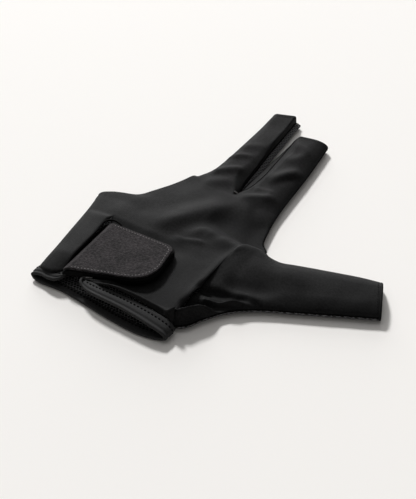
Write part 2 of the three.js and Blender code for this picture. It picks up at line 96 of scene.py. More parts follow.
# Folds of the back and the thumb: crests and, with a negative rise, furrows. Each has its widths on the left
# and on the right of someone who walks along it, its rise and the places that it goes through.
FOLDS = [
    ("back crest", 8, 6.5, 1.7,
     [(-31, -14), (-25, -5), (-19, 4), (-14.5, 11), (-10, 17.5), (-4.5, 23.5), (3, 28.5)]),
    ("back hollow", 5, 6, -0.5, [(-26, -16), (-19, -6), (-12, 2), (-5, 9.5), (1, 14)]),
    ("web hollow", 11, 4, -1.5, [(-8, 13.5), (-2, 12), (8.8, 9.5), (16, 9), (22.4, 8), (30, 6)]),
    ("upper ridge", 2.7, 4, 0.8, [(-11, -6), (-7.2, -1.6), (-4.6, 1.2), (-1.4, 2.4), (2, 1.8), (6, -0.4)]),
    ("long ridge", 3.6, 5, 1.3,
     [(-1, 3), (4.8, 1.3), (9.6, 0.8), (15, 1.5), (20, 1.6), (26, 2.6), (33, 3.6), (42, 5.5)]),
    ("thumb swell", 7, 7, 1.3, [(16, -1), (22, -2.5), (30, -4.5), (40, -5.5), (54, -3), (68, 1)]),
    ("lower ridge", 1.3, 2.6, 0.6,
     [(-16, -9), (-12.5, -8.6), (-8.5, -8.5), (-4.5, -7.2), (0, -6), (5, -6.4)]),
    ("thumb seam crest", 2.2, 2.2, 0.6,
     [(24, 6), (20.5, 0), (18, -3.5), (16.4, -9), (15.6, -16), (15, -27), (14.4, -40), (14, -50)]),
    ("web crease", 4, 9, -1.8, [(14.5, 34), (16.8, 26), (19.8, 19.8), (22.8, 14), (26, 9.4), (28, 6)]),
    ("web fold", 1.0, 1.0, -1.2, [(19.5, 20), (21.5, 15.5), (23.4, 12), (25.6, 8)]),
    ("index seam groove", 0.7, 0.7, -0.35,
     [(-6, 36.8), (-4.7, 40.5), (-3.2, 46), (-2.2, 54.5), (-1.7, 60.6), (-2.3, 68.6), (-2.8, 77.6),
      (-3.4, 85), (-3.6, 92), (-3.7, 100)]),
    ("index base crest", 3, 3, 1.0, [(-4, 34), (-1, 36.5), (3, 39), (7, 41.2), (12, 43.8), (18, 46.5)]),
    ("index base hollow", 4.5, 6, -0.9, [(4, 30), (10, 33), (16, 36), (24, 40)]),
    ("index wrinkle", 1.6, 2.4, 0.45, [(-1, 46), (2, 46.6), (7.8, 47.6), (14, 47)]),
    ("index crest", 4.4, 2.8, 1.4, [(2, 53), (5.5, 57.5), (9, 63), (13, 68.5), (17, 75)]),
    ("index hollow", 2.4, 2.4, -0.6, [(5, 54), (9.5, 60), (13, 65), (17, 71)]),
    ("index swell", 3.5, 3.5, 0.5, [(0, 73), (4, 77), (8, 81), (11, 86)]),
    ("index tip crest", 3.5, 3.5, 0.6, [(-3, 89), (3, 89), (8, 87), (13, 82)]),
    ("middle crest low", 4, 4.5, 0.8, [(-28, 36.5), (-22, 39), (-17, 42), (-9, 45.5)]),
    ("middle crest", 2.8, 2.8, 0.9, [(-28, 46.5), (-23.5, 49), (-18, 53.5), (-10.5, 58)]),
    ("middle wrinkle", 2, 2, 0.6, [(-28, 62), (-24.4, 63.5), (-19, 67), (-12, 69.5)]),
    ("middle swell", 3, 3, 0.5, [(-27, 73.5), (-23, 75), (-17, 78), (-10, 80.5)]),
    ("hem crest", 1.6, 1.1, 1.8,
     [(-30, -58), (-24, -57.4), (-10.8, -55.8), (1.5, -55.4), (9, -54.8), (18, -53)]),
    ("slit hem", 0.8, 0.8, 0.6, [(-36, -58.8), (-31, -56.3), (-25, -53.2), (-18.9, -49.7), (-14, -47)]),
    ("heel ridge", 1.4, 1.5, 4.6,
     [(9, -57), (13.5, -54.5), (17, -51.8), (19.4, -48), (22.4, -44.2), (26.2, -41.6), (30, -39.4),
      (36, -35.5)]),
    ("heel valley", 2.6, 2.4, -3.2, [(13, -49), (17, -44.8), (21.5, -39.8), (27, -37), (34, -33), (46, -27)]),
    ("low ridge", 1.0, 1.2, 2.5,
     [(17.5, -38), (20.6, -37.2), (24.4, -36.2), (28.2, -34.6), (31.8, -31.7), (36.6, -28.8), (44, -26.8)]),
    ("low valley", 2.4, 2.0, -2.8,
     [(13, -33), (17.6, -32), (23.4, -30.6), (28.7, -28.6), (34, -26.6), (42, -24.6)]),
    ("middle ridge", 1.8, 1.6, 1.0,
     [(27, -27.6), (31, -26.4), (34.4, -25.1), (37.8, -24.3), (41, -24.2), (50, -22)]),
    ("middle valley", 4.5, 3, -1.2, [(21, -25), (28, -22.5), (34.4, -20), (41, -18.6), (52, -15)]),
]
# The share of a fold's length over which it fades out at either end.
FOLD_FADE = 0.3
# The wrist's binding from the slit's left side round the palm to the slit's right side: the outer face's x
# and height, its edges towards the hand and towards the arm, and how far the latter lies lower.
BINDING_SECTIONS = [
    (-44.6, 7.2, -57.4, -58.9, 0.4),
    (-46.4, 7.1, -57.4, -61.4, 0.8),
    (-49.0, 6.8, -57.3, -63.0, 1.0),
    (-52.4, 6.6, -57.2, -63.2, 1.2),
    (-56.0, 6.3, -57.2, -62.6, 1.3),
    (-59.6, 5.2, -57.2, -62.8, 0.8),
    (-61.8, 3.0, -57.4, -63.4, 0.0),
    (-60.0, 0.7, -58.2, -63.8, 0.0),
    (-56.0, 0.35, -59.6, -64.2, 0.0),
    (-44.0, 0.35, -59.4, -63.4, 0.0),
    (-29.0, 0.35, -60.4, -64.9, 0.0),
    (-13.0, 0.35, -62.0, -66.9, 0.0),
    (1.0, 0.35, -62.6, -67.7, 0.0),
    (10.5, 0.5, -61.4, -66.7, 0.0),
    (15.4, 0.8, -59.0, -65.4, 0.0),
    (18.2, 3.0, -57.4, -64.9, 0.0),
    (16.2, 5.8, -57.2, -65.2, 0.4),
    (9.0, 8.2, -57.2, -65.1, 0.8),
    (0.0, 9.4, -57.2, -64.5, 1.0),
    (-10.0, 9.8, -57.2, -63.8, 1.0),
    (-20.0, 9.5, -57.2, -63.4, 0.8),
    (-28.0, 8.9, -57.0, -62.6, 0.6),
    (-33.0, 8.3, -56.6, -60.6, 0.3),
]
# Where the binding's bead turns round the slit's right corner.
BEAD_TURN = [
    (-34.3, -59.6, 8.1),
    (-35.2, -58.0, 8.0),
    (-35.2, -56.4, 8.0),
    (-34.2, -55.1, 8.1),
    (-32.6, -54.6, 8.3),
]


def columns(table, names):
    """The columns of a table as arrays under their names."""
    return {name: np.array(values, float) for name, values in zip(names, zip(*table))}


HAND = columns([row[1:] for row in HAND_SECTIONS], ("left", "divide_l", "divide_r", "right", "crown"))
THUMB = columns(THUMB_SECTIONS, ("upper", "lower"))
BINDING = columns(BINDING_SECTIONS, ("x", "z", "inner", "outer", "drop"))
NAMES = [row[0] for row in HAND_SECTIONS]
SLIT_TOP, CORNER, CROTCH, FORK = (NAMES.index(name) for name in ("slit_top", "corner", "crotch", "fork"))
TIP = len(HAND_SECTIONS) - 1
THUMB_TIP = len(THUMB_SECTIONS) - 1

# Values between sections


def between(values, t):
    """Values between a table's rows at the places t: cubic pieces whose slope at a row is the harmonic mean
    of the steps before and after it, or zero where these differ in sign, so the curve never swings past a
    row."""
    values = np.asarray(values, float)
    flat = values.ndim == 1
    values = values[:, None] if flat else values
    step = np.diff(values, axis=0)
    before, after = step[:-1], step[1:]
    alike = before * after > 0
    total = np.where(alike, before + after, 1)
    inner = np.where(alike, 2 * before * after / total, 0)
    slope = np.concatenate([step[:1], inner, step[-1:]])
    t = np.asarray(t, float)
    i = np.clip(np.floor(t).astype(int), 0, len(values) - 2)
    u = (t - i)[..., None]
    ends = values[i] * (2 * u**3 - 3 * u**2 + 1) + values[i + 1] * (3 * u**2 - 2 * u**3)
    found = ends + slope[i] * (u**3 - 2 * u**2 + u) + slope[i + 1] * (u**3 - u**2)
    return found[..., 0] if flat else found


def lerp(a, b, share):
    """The value at a share of the way from a to b."""
    return a + (b - a) * share


def smoothstep(x, low, high):
    """0 below low and 1 above high, with a level start and end."""
    u = np.clip((x - low) / (high - low), 0, 1)
    return u * u * (3 - 2 * u)


def smooth_path(points, per_step):
    """A curve through the points: each step is the Catmull-Rom cubic of its two ends and their neighbours."""
    p = np.asarray(points, float)
    p = np.concatenate([[2 * p[0] - p[1]], p, [2 * p[-1] - p[-2]]])
    u = np.linspace(0, 1, per_step, endpoint=False)[:, None, None]
    a, b, c, d = p[:-3], p[1:-2], p[2:-1], p[3:]
    cubic = 2 * b + (c - a) * u + (2 * a - 5 * b + 4 * c - d) * u**2 + (3 * b - a - 3 * c + d) * u**3
    return np.concatenate([np.swapaxes(cubic / 2, 0, 1).reshape(-1, p.shape[1]), p[-2:-1]])


def lengths(path):
    """How far along a path each of its points lies."""
    return np.concatenate([[0], np.cumsum(np.linalg.norm(np.diff(path, axis=0), axis=1))])


def places_at(path, at):
    """The places of a path at the given lengths along it."""
    return np.stack([np.interp(at, lengths(path), values) for values in path.T], axis=1)


def spaced(path, pitch):
    """Points and unit tangents along a path, one every pitch of its length."""
    at = np.arange(pitch / 2, lengths(path)[-1], pitch)
    ahead, behind = places_at(path, at + 0.1 * pitch), places_at(path, at - 0.1 * pitch)
    return places_at(path, at), unit(ahead - behind)


def smooth_line(path, times):
    """A path whose inner points are moved several times to the mean of themselves and their neighbours."""
    path = path.copy()
    for _ in range(times):
        path[1:-1] = (path[:-2] + path[1:-1] + path[2:]) / 3
    return path


def unit(v):
    """Vectors of length 1 in the directions of v."""
    return v / np.maximum(np.linalg.norm(v, axis=-1, keepdims=True), 1e-12)


def raised(xy, z):
    """Points at the places xy with the heights z."""
    return np.concatenate([xy, np.broadcast_to(z, xy.shape[:-1])[..., None]], axis=-1)


# The cloth's surface

# The closed edges, where back and palm are sewn together: the table and column of the sections, the first and
# last section, and how the back falls to the edge: the width as a share of the common one, that width's
# shares at the edge's two ends, and how square the fall is.
EDGES = [
    (HAND, "left", 0, CORNER, 1.0, 1.0, 1.0, 2.0),
    (HAND, "left", FORK, TIP, 1.2, 0.7, 0.5, 1.9),
    (HAND, "divide_l", FORK, TIP, 0.25, 0.8, 0.8, 3.0),
    (HAND, "divide_r", FORK, TIP, 1.5, 0.15, 0.4, 1.2),
    (HAND, "right", CROTCH, TIP, 2.0, 0.5, 0.8, 1.75),
    (THUMB, "upper", 0, THUMB_TIP, 2.0, 0.4, 0.8, 1.7),
    (THUMB, "lower", 0, THUMB_TIP, 1.5, 0.3, 1.0, 1.9),
]
# Points of an edge from one section to the next, and the share of its length over which either end differs.
EDGE_STEPS = 8
EDGE_END = 0.25
# How much lower than the seam the lip's outer edge lies, as a share of the seam's height, over how many
# sections from the fork the lip grows, and how many columns lead back from it to the seam.
LIP_DROP = 0.3
LIP_GROWTH = 1.2
LIP_COLUMNS = 9
# Small unevenness of the back: seed, size and rise, and how many waves make it.
RIPPLES = ((7, 18, 0.1), (11, 6, 0.015))
WAVES = 24
# Over how many millimetres a deep furrow levels out above the lowest height of the back.
SOFT_FLOOR = 0.4
# Columns of points across the pieces, and how those near both edges stand: how many, the power by which they
# crowd, and the largest share of a row's width that they take.
BACK_COLUMNS = {"left": 26, "right": 62}
PALM_COLUMNS = {"left": 26, "right": 50}
THUMB_COLUMNS = 84
NEAR_COLUMNS = 8
CROWDING = 1.5
NEAR_SHARE = 0.45
# The strip left of the slit: over how many sections the slit opens, the roll's width as a share of its depth,
# the lap's stretch across and its power, over how many sections it reaches, and how far and over how many it
# dips.
SLIT_OPENS = 0.6
ROLL_WIDTH = 1.2
LAP_STRETCH = 1.08
LAP_POWER = 0.7
LAP_REACH = 0.8
LAP_DIP = 1.4
LAP_DIP_REACH = 0.12
# How far the hand's edge rolls down to the thumb's seam, by section, and over which width.
SEAM_ROLL = ((0, 1, 3, 5, CROTCH), (1.4, 1.0, 0.3, 0.08, 0.0))
SEAM_ROLL_WIDTH = 3.2
# How far the palm reaches on to the binding's inner edge, by x.
PALM_REACH = ((-61, -56, -44, -29, -13, 1, 10.5, 16), (0, 2.4, 2.3, 3.3, 4.9, 5.5, 4.3, 0.5))
# The thumb's arch, the power that shifts its top to the upper side, the share that it loses towards the tip,
# and how much lower its lower side lies at the seam.
THUMB_ARCH = 2.6
ARCH_POWER = 0.7
ARCH_LOSS = 0.45
THUMB_LEAN = 1.2
# The thumb's start at the seam: how many steps it lies below the hand on the lower side, from which to which
# share across, and how much it lies above it on the upper side. Then over how many sections it rises to the
# arch on the upper side, and how many more on the lower one.
SEAM_STEPS = 3
SEAM_FALL = (0.5, 0.8)
SEAM_LIFT = 0.65
SEAM_RISE = 0.9
SEAM_RISE_MORE = 1.7


def lip_share(t):
    """How much of its lip the palm has beside the middle finger: nothing at the fork, and all of it further
    on."""
    return smoothstep(t, FORK, FORK + LIP_GROWTH)


def closed_edges(lip=0.0):
    """The closed edges seen from above as lists of points, with the palm's lip added beside the middle
    finger."""
    lines = []
    for table, name, first, last, *_ in EDGES:
        t = np.linspace(first, last, (last - first) * EDGE_STEPS + 1)
        line = between(table[name], t)[:, :2]
        if name == "divide_l":
            line[:, 0] += lip * lip_share(t)
        lines.append(line)
    return lines


def beside_line(xy, line):
    """The least distance from each point of xy to a line, whether the point lies to the line's left, and how
    far along the line its nearest place is, from 0 to 1."""
    a, d = line[:-1], np.diff(line, axis=0)
    off = xy.reshape(-1, 1, 2) - a
    share = np.clip((off * d).sum(-1) / np.maximum((d * d).sum(-1), 1e-12), 0, 1)
    far = np.linalg.norm(off - share[..., None] * d, axis=-1)
    nearest = far.argmin(axis=1)[:, None]
    turn = np.take_along_axis(d[:, 0] * off[..., 1] - d[:, 1] * off[..., 0], nearest, axis=1)
    along = (nearest + np.take_along_axis(share, nearest, axis=1)) / len(d)
    far, shape = np.take_along_axis(far, nearest, axis=1), xy.shape[:-1]
    return far.reshape(shape), turn.reshape(shape) > 0, along.reshape(shape)


def distance_to_lines(xy, lines):
    """The least distance from each point of xy to any of the lines."""
    return np.min([beside_line(xy, line)[0] for line in lines], axis=0)


def rounding(distance, width, power=2.0):
    """A quarter of an ellipse, squarer with a higher power: 0 at a closed edge, 1 from the width inwards."""
    return (1 - (1 - np.minimum(distance / width, 1)) ** power) ** (1 / power)


def fold_rise(xy):
    """The sum of the folds: each is a bell across its line, with one width on its left and one on its right,
    and fades out over the line's two ends."""
    total = np.zeros(xy.shape[:-1])
    for _, left, right, rise, places in FOLDS:
        far, on_left, along = beside_line(xy, smooth_path(places, 4))
        fade = smoothstep(along, 0, FOLD_FADE) * (1 - smoothstep(along, 1 - FOLD_FADE, 1))
        total += rise * fade * np.exp(-((far / np.where(on_left, left, right)) ** 2))
    return total


def ripple(xy, seed, size, rise):
    """Small unevenness: the sum of seeded plane waves whose lengths lie around the size."""
    rng = np.random.default_rng(seed)
    angle = rng.uniform(0, 2 * math.pi, WAVES)
    rate = 2 * math.pi / (size * rng.uniform(0.7, 1.8, WAVES))
    phase = rng.uniform(0, 2 * math.pi, WAVES)
    wave = np.sin(xy[..., :1] * (rate * np.cos(angle)) + xy[..., 1:2] * (rate * np.sin(angle)) + phase)
    return rise * wave.sum(-1) / math.sqrt(WAVES / 2)


def back_height(xy, full, sizes):
    """The back's height: its full height with folds and ripples, levelled out softly above the lowest height
    as the logarithm of a sum of powers, and falling to the seam by a closed edge."""
    low = sizes.seam_height + sizes.seam_gap / 2
    folded = full + sizes.fold_depth * fold_rise(xy)
    for row in RIPPLES:
        folded = folded + ripple(xy, *row)
    high = sizes.lowest_back + SOFT_FLOOR * np.logaddexp((folded - sizes.lowest_back) / SOFT_FLOOR, 0)
    shares = []
    for line, (*_, width, first, last, power) in zip(closed_edges(), EDGES):
        far, _, along = beside_line(xy, line)
        at_first = lerp(first, 1, smoothstep(along, 0, EDGE_END))
        at_last = lerp(1, last, smoothstep(along, 1 - EDGE_END, 1))
        shares.append(rounding(far, width * sizes.back_rounding * (at_first * at_last), power))
    return low + (high - low) * np.min(shares, axis=0)


def palm_height(xy, sizes):
    """The palm's height: flat on the floor, curling up to the seam by a closed edge."""
    ends = np.stack([HAND["left"][CORNER, :2], HAND["left"][FORK, :2], HAND["divide_l"][FORK, :2]])
    to_end = np.linalg.norm(xy[..., None, :] - ends, axis=-1).min(-1)
    width = sizes.palm_rounding + sizes.palm_spread * np.exp(-((to_end / sizes.palm_spread) ** 2))
    far = distance_to_lines(xy, closed_edges(sizes.palm_lip))
    return (sizes.seam_height - sizes.seam_gap / 2) * (1 - rounding(far, width))


def column_shares(width, edge_width, count):
    """Where the columns stand across rows of the given widths: closer together near both edges."""
    edge = np.minimum(edge_width / width, NEAR_SHARE)[:, None]
    middle = edge + (1 - 2 * edge) * np.linspace(0, 1, count + 1)[None, :]
    left = (np.linspace(0, 1, NEAR_COLUMNS + 1)[None, :] ** CROWDING)[:, :-1] * edge
    return np.concatenate([left, middle, 1 - left[:, ::-1]], axis=1)


def height_across(side, t, start, end, share):
    """The full height across a row: it bends by the divide on the left and by the thumb on the right."""
    bend = 1 - (1 - share) ** 2 if side == "left" else share**2
    crown = 0 if side == "left" else between(HAND["crown"], t)[:, None] * np.sin(np.pi * share) ** 2
    return lerp(start[:, 2:], end[:, 2:], bend) + crown


def hand_rows(side, t):
    """The two ends of each row of one side of the hand, left or right of the divide."""
    sewn = ((t >= SLIT_TOP) & (t <= FORK))[:, None]
    divide_l = between(HAND["divide_l"], t)
    divide_r = np.where(sewn, divide_l, between(HAND["divide_r"], t))
    if side == "left":
        return between(HAND["left"], t), divide_l
    return divide_r, between(HAND["right"], t)


def across(start, end, share):
    """Points x, y at each share of the way along each row."""
    return lerp(start[:, None, :2], end[:, None, :2], share[..., None])


def row_places(last, rows):
    """Where the rows of a grid stand along the sections: twice as close over the first section."""
    close = np.linspace(0, 1, 2 * rows, endpoint=False)
    return np.concatenate([close, np.linspace(1, last, (last - 1) * rows + 1)])


def seam_roll(t):
    """How far the hand's edge rolls down to the thumb's seam: more and more towards the wrist."""
    return np.interp(t, *SEAM_ROLL)


def back_grid(side, sizes):
    """The back's outer face on one side of the divide. The strip left of the slit rolls under at its edge and
    laps over the wrist's binding, and the hand's right edge rolls down to the thumb's seam."""
    t = row_places(TIP, sizes.rows)
    start, end = hand_rows(side, t)
    width = np.linalg.norm(end[:, :2] - start[:, :2], axis=1)
    share = column_shares(width, sizes.back_rounding, BACK_COLUMNS[side])
    xy = across(start, end, share)
    z = back_height(xy, height_across(side, t, start, end, share), sizes)
    to_edge = (1 - share) * width[:, None]
    if side == "left":
        open_slit = 1 - smoothstep(t, SLIT_TOP - SLIT_OPENS, SLIT_TOP)[:, None]
        z -= open_slit * sizes.strip_roll * (1 - rounding(to_edge, sizes.strip_roll * ROLL_WIDTH))
        lap = sizes.strip_lap * np.sin(np.pi * np.clip(share * LAP_STRETCH, 0, 1)) ** LAP_POWER
        xy[..., 1] -= lap * (1 - smoothstep(t, 0, LAP_REACH)[:, None])
        z -= LAP_DIP * (1 - rounding(t, LAP_DIP_REACH))[:, None] * lap / sizes.strip_lap
    else:
        z -= seam_roll(t)[:, None] * (1 - rounding(to_edge, SEAM_ROLL_WIDTH))
    return raised(xy, z)


def palm_grid(side, sizes):
    """The palm's outer face on one side of the divide. Both sides meet where the back has its slit, and at
    the wrist the palm reaches on to the binding's inner edge."""
    t = row_places(TIP, sizes.rows)
    start, end = hand_rows(side, t)
    slit = (t < SLIT_TOP)[:, None]
    middle = lerp(between(HAND["divide_l"], t), between(HAND["divide_r"], t), 0.5)
    if side == "left":
        end = np.where(slit, middle, end)
        end[:, 0] += sizes.palm_lip * lip_share(t)
    else:
        start = np.where(slit, middle, start)
    width = np.linalg.norm(end[:, :2] - start[:, :2], axis=1)
    xy = across(start, end, column_shares(width, sizes.palm_rounding, PALM_COLUMNS[side]))
    z = palm_height(xy, sizes)
    xy[..., 1] -= np.interp(xy[..., 0], *PALM_REACH) * (1 - smoothstep(t, 0, 1))[:, None]
    return with_lip(raised(xy, z), t, sizes) if side == "left" else raised(xy, z)


def with_lip(grid, t, sizes):
    """The palm's left side with the mesh beside the middle finger: its edge lies lower by a share of the
    seam's height, and further columns lead from it back and up to the seam as a quarter of a sine."""
    share = lip_share(t)[:, None]
    half = grid.shape[1] // 2
    grid[:, half:, 2] *= 1 - LIP_DROP * share
    edge = grid[:, -1:]
    s = np.linspace(0, 1, LIP_COLUMNS + 1)[1:]
    seam_level = np.where(t[:, None] >= FORK, sizes.seam_height - sizes.seam_gap / 2, edge[..., 2])
    x = edge[..., 0] - sizes.palm_lip * share * s
    z = lerp(edge[..., 2], seam_level, np.sin(s * np.pi / 2))
    lip = np.stack([x, np.broadcast_to(edge[..., 1], x.shape), z], axis=-1)
    return np.concatenate([grid, lip], axis=1)


def thumb_grid(sizes):
    """The thumb's places from its seam to its tip and their full heights: the rows start on the hand's seam
    and straighten as the cube of what is left to the tip. They start from the hand's rolled edge, a little
    above it on the upper half and some steps below it on the lower one, and rise to the arched thumb."""
    t = row_places(THUMB_TIP, sizes.rows)
    upper, lower = between(THUMB["upper"], t), between(THUMB["lower"], t)
    width = np.linalg.norm(upper[:, :2] - lower[:, :2], axis=1)
    share = column_shares(width, sizes.back_rounding, THUMB_COLUMNS)
    seam = between(HAND["right"], CROTCH * (1 - share))
    chord = lerp(HAND["right"][CROTCH], HAND["right"][0], share[..., None])
    left = (1 - t / THUMB_TIP)[:, None] ** 3
    xy = across(upper, lower, share) + (seam - chord)[..., :2] * left[..., None]
    t = t[:, None]
    arch = THUMB_ARCH * np.sin(np.pi * share**ARCH_POWER) * (1 - ARCH_LOSS * t / THUMB_TIP)
    full = lerp(upper[:, 2:], lower[:, 2:] - THUMB_LEAN * (1 - t / THUMB_TIP), share) + arch
    step = sizes.seam_step * (SEAM_STEPS * smoothstep(share, *SEAM_FALL) - SEAM_LIFT * (1 - share))
    start = seam[..., 2] - seam_roll(CROTCH * (1 - share)) - step
    return t, xy, lerp(start, full, smoothstep(t, 0, SEAM_RISE + SEAM_RISE_MORE * share))


# Mesh making

# The turned hems: the rim's pitch, how deep its middle lies under the cloth's face and within the end, and
# its half width and half thickness. Then how far in the stitches lie and how high over the face, their pitch,
# length and width, and the height below which there are none.
HEM_PITCH = 0.6
HEM_DEPTH = 0.3
HEM_INSET = 0.2
HEM_OVAL = (0.8, 0.42)
HEM_STITCH_INSET = 1.7
HEM_STITCH_RISE = 0.02
HEM_STITCH_PITCH = 1.5
HEM_STITCH = (0.9, 0.34)
HEM_STITCH_FLOOR = 4.5
# A tube's thinned ends: over how many points, and the least share of the squared radius.
TAPER_POINTS = 4
TAPER_LEAST = 0.05
# Points along and round a stitch, and the angle that each of its ends is cut short by.
STITCH_POINTS = 6
STITCH_END = 0.08


def quads_of(indices):
    """The quads of a grid of point indices."""
    corners = [indices[:-1, :-1], indices[:-1, 1:], indices[1:, 1:], indices[1:, :-1]]
    return np.stack(corners, axis=-1).reshape(-1, 4)


def make_object(name, points, faces, uv, material):
    """A mesh object at the origin from points in millimetres, with one texture coordinate a point, in
    metres."""
    mesh = bpy.data.meshes.new(name)
    mesh.from_pydata((points * MM).tolist(), [], [list(face) for face in faces])
    mesh.polygons.foreach_set("use_smooth", np.ones(len(mesh.polygons), bool))
    loops = np.empty(len(mesh.loops), int)
    mesh.loops.foreach_get("vertex_index", loops)
    layer = mesh.uv_layers.new(name="cloth")
    layer.data.foreach_set("uv", (uv[loops] * MM).ravel())
    mesh.materials.append(material)
    mesh.update()
    made = bpy.data.objects.new(name, mesh)
    bpy.context.scene.collection.objects.link(made)
    return made


def weld(points, faces, uv):
    """Points that lie at one place joined into one, and the faces that collapsed left out."""
    keys = np.round(points, 4)
    _, first, inverse = np.unique(keys, axis=0, return_index=True, return_inverse=True)
    faces = inverse.reshape(-1)[faces]
    same = faces == np.roll(faces, 1, axis=1)
    quads = faces[same.sum(1) == 0]
    pinched, twin = faces[same.sum(1) == 1], same[same.sum(1) == 1].argmax(1)
    turned = (twin[:, None] + np.arange(3)) % 4
    triangles = np.take_along_axis(pinched, turned, axis=1)
    return points[first], quads.tolist() + triangles.tolist(), uv[first]


def cloth_lengths(grid):
    """Lengths along the cloth: across each row from its middle point, whose x it keeps, and y along."""
    step = np.linalg.norm(np.diff(grid, axis=1), axis=-1)
    length = np.concatenate([np.zeros((len(grid), 1)), np.cumsum(step, axis=1)], axis=1)
    middle = grid.shape[1] // 2
    across_row = length - length[:, middle : middle + 1] + grid[:, middle : middle + 1, 0]
    return np.stack([across_row, grid[..., 1]], axis=-1)


def sheet(name, grids, material, wall, flip=False):
    """A cloth of even wall from grids of its outer face. Its texture coordinates are lengths along the
    cloth."""
    points, faces, uvs, first = [], [], [], 0
    for grid in grids:
        count = grid.shape[0] * grid.shape[1]
        quads = quads_of(np.arange(first, first + count).reshape(grid.shape[:2]))
        points.append(grid.reshape(-1, 3))
        faces.append(quads[:, ::-1] if flip else quads)
        uvs.append(cloth_lengths(grid).reshape(-1, 2))
        first += count
    welded = weld(np.concatenate(points), np.concatenate(faces), np.concatenate(uvs))
    made = make_object(name, *welded, material)
    solidify = made.modifiers.new("wall", "SOLIDIFY")
    solidify.thickness = wall * MM
    solidify.offset = -1
    solidify.use_even_offset = False
    return made


def sweep(name, path, side, normal, profile, material, closed=False):
    """A profile carried along a path: at each point of the path the profile's two coordinates run along the
    side and normal vectors. An open path gets flat caps."""
    sides, normals = np.broadcast_to(side, path.shape), np.broadcast_to(normal, path.shape)
    profile = np.broadcast_to(profile, (len(path), *np.shape(profile)[-2:]))
    points = path[:, None] + profile[..., :1] * sides[:, None] + profile[..., 1:] * normals[:, None]
    rows, cols = points.shape[:2]
    k = np.arange(rows * cols).reshape(rows, cols)
    around = np.concatenate([k, k[:, :1]], axis=1)
    around = np.concatenate([around, around[:1]]) if closed else around
    girth = np.linalg.norm(np.diff(profile[0], axis=0, prepend=profile[0][-1:]), axis=1).cumsum()
    uv = np.stack(np.broadcast_arrays(girth[None, :], lengths(path)[:, None]), axis=-1).reshape(-1, 2)
    made = make_object(name, points.reshape(-1, 3), quads_of(around), uv, material)
    close_mesh(made, () if closed else (k[0], k[-1]))
    return made


def close_mesh(made, caps=(), holes=False):
    """Adds one face for each cap's ring of points, fills every open ring where holes is set, and turns every
    face outwards."""
    bm = bmesh.new()
    bm.from_mesh(made.data)
    bm.verts.ensure_lookup_table()
    for ring in caps:
        bm.faces.new([bm.verts[i] for i in ring])
    if holes:
        bmesh.ops.holes_fill(bm, edges=[edge for edge in bm.edges if edge.is_boundary], sides=8)
    bmesh.ops.recalc_face_normals(bm, faces=bm.faces)
    bm.to_mesh(made.data)
    bm.free()


def nearest_rows(points, line, values):
    """For each point the value that belongs to the nearest place of a line."""
    return values[np.linalg.norm(line[None] - points[:, None], axis=-1).argmin(axis=1)]


def hem(name, ring, outward, material, thread):
    """A turned hem round an open end: an oval rim along the ring of the cloth's outer face, and a row of
    stitches further in. The oval is long in the outward direction."""
    path, _ = spaced(np.concatenate([ring, ring[:1]]), HEM_PITCH)
    tangent = unit(np.roll(path, -1, axis=0) - np.roll(path, 1, axis=0))
    side = np.broadcast_to(unit(np.array(outward, float)), path.shape)
    normal = unit(np.cross(tangent, side))
    normal *= np.sign(((path - path.mean(0)) * normal).sum())
    rim_path = path - HEM_DEPTH * normal - HEM_INSET * side
    rim = sweep(name, rim_path, side, normal, circle(10) * HEM_OVAL, material, closed=True)
    line = path - HEM_STITCH_INSET * side
    points, tangents = spaced(line + HEM_STITCH_RISE * normal, HEM_STITCH_PITCH)
    keep = points[:, 2] > HEM_STITCH_FLOOR
    places = points[keep], tangents[keep], nearest_rows(points, line, normal)[keep]
    return rim, stitches(f"{name}_stitches", [places], thread, *HEM_STITCH)


def circle(sides):
    """A circle of radius 1 in the profile's two coordinates."""
    angle = np.linspace(0, 2 * math.pi, sides, endpoint=False)
    return np.stack([np.cos(angle), np.sin(angle)], axis=1)


def tube(name, path, radius, material, sides):
    """A round tube along a path, of one radius or one a point, with its section upright and its ends
    thinned."""
    tangent = unit(np.gradient(path, axis=0))
    side = unit(np.cross(tangent, [0, 0, 1.0]))
    to_end = np.minimum(np.arange(len(path)), np.arange(len(path))[::-1])
    taper = np.sqrt(np.clip(to_end / TAPER_POINTS, TAPER_LEAST, 1))
    profile = circle(sides) * (np.broadcast_to(radius, len(path)) * taper)[:, None, None]
    return sweep(name, path, side, np.cross(side, tangent), profile, material)


def wavy(points, radius, wave, period):
    """A radius for each point that swells and thins as a cosine over so many points."""
    return radius + wave * np.cos(2 * np.pi * np.arange(len(points)) / period)


def upwards(points):
    """A vector straight up for each point."""
    return np.tile([0, 0, 1.0], (len(points), 1))


def bar_tack(line, pitch):
    """The places of stitches across a line, one every pitch: the tangents turned by a quarter, seen from
    above."""
    points, tangents = spaced(np.array(line, float), pitch)
    return points, tangents[:, [1, 0, 2]] * (-1, 1, 1), upwards(points)


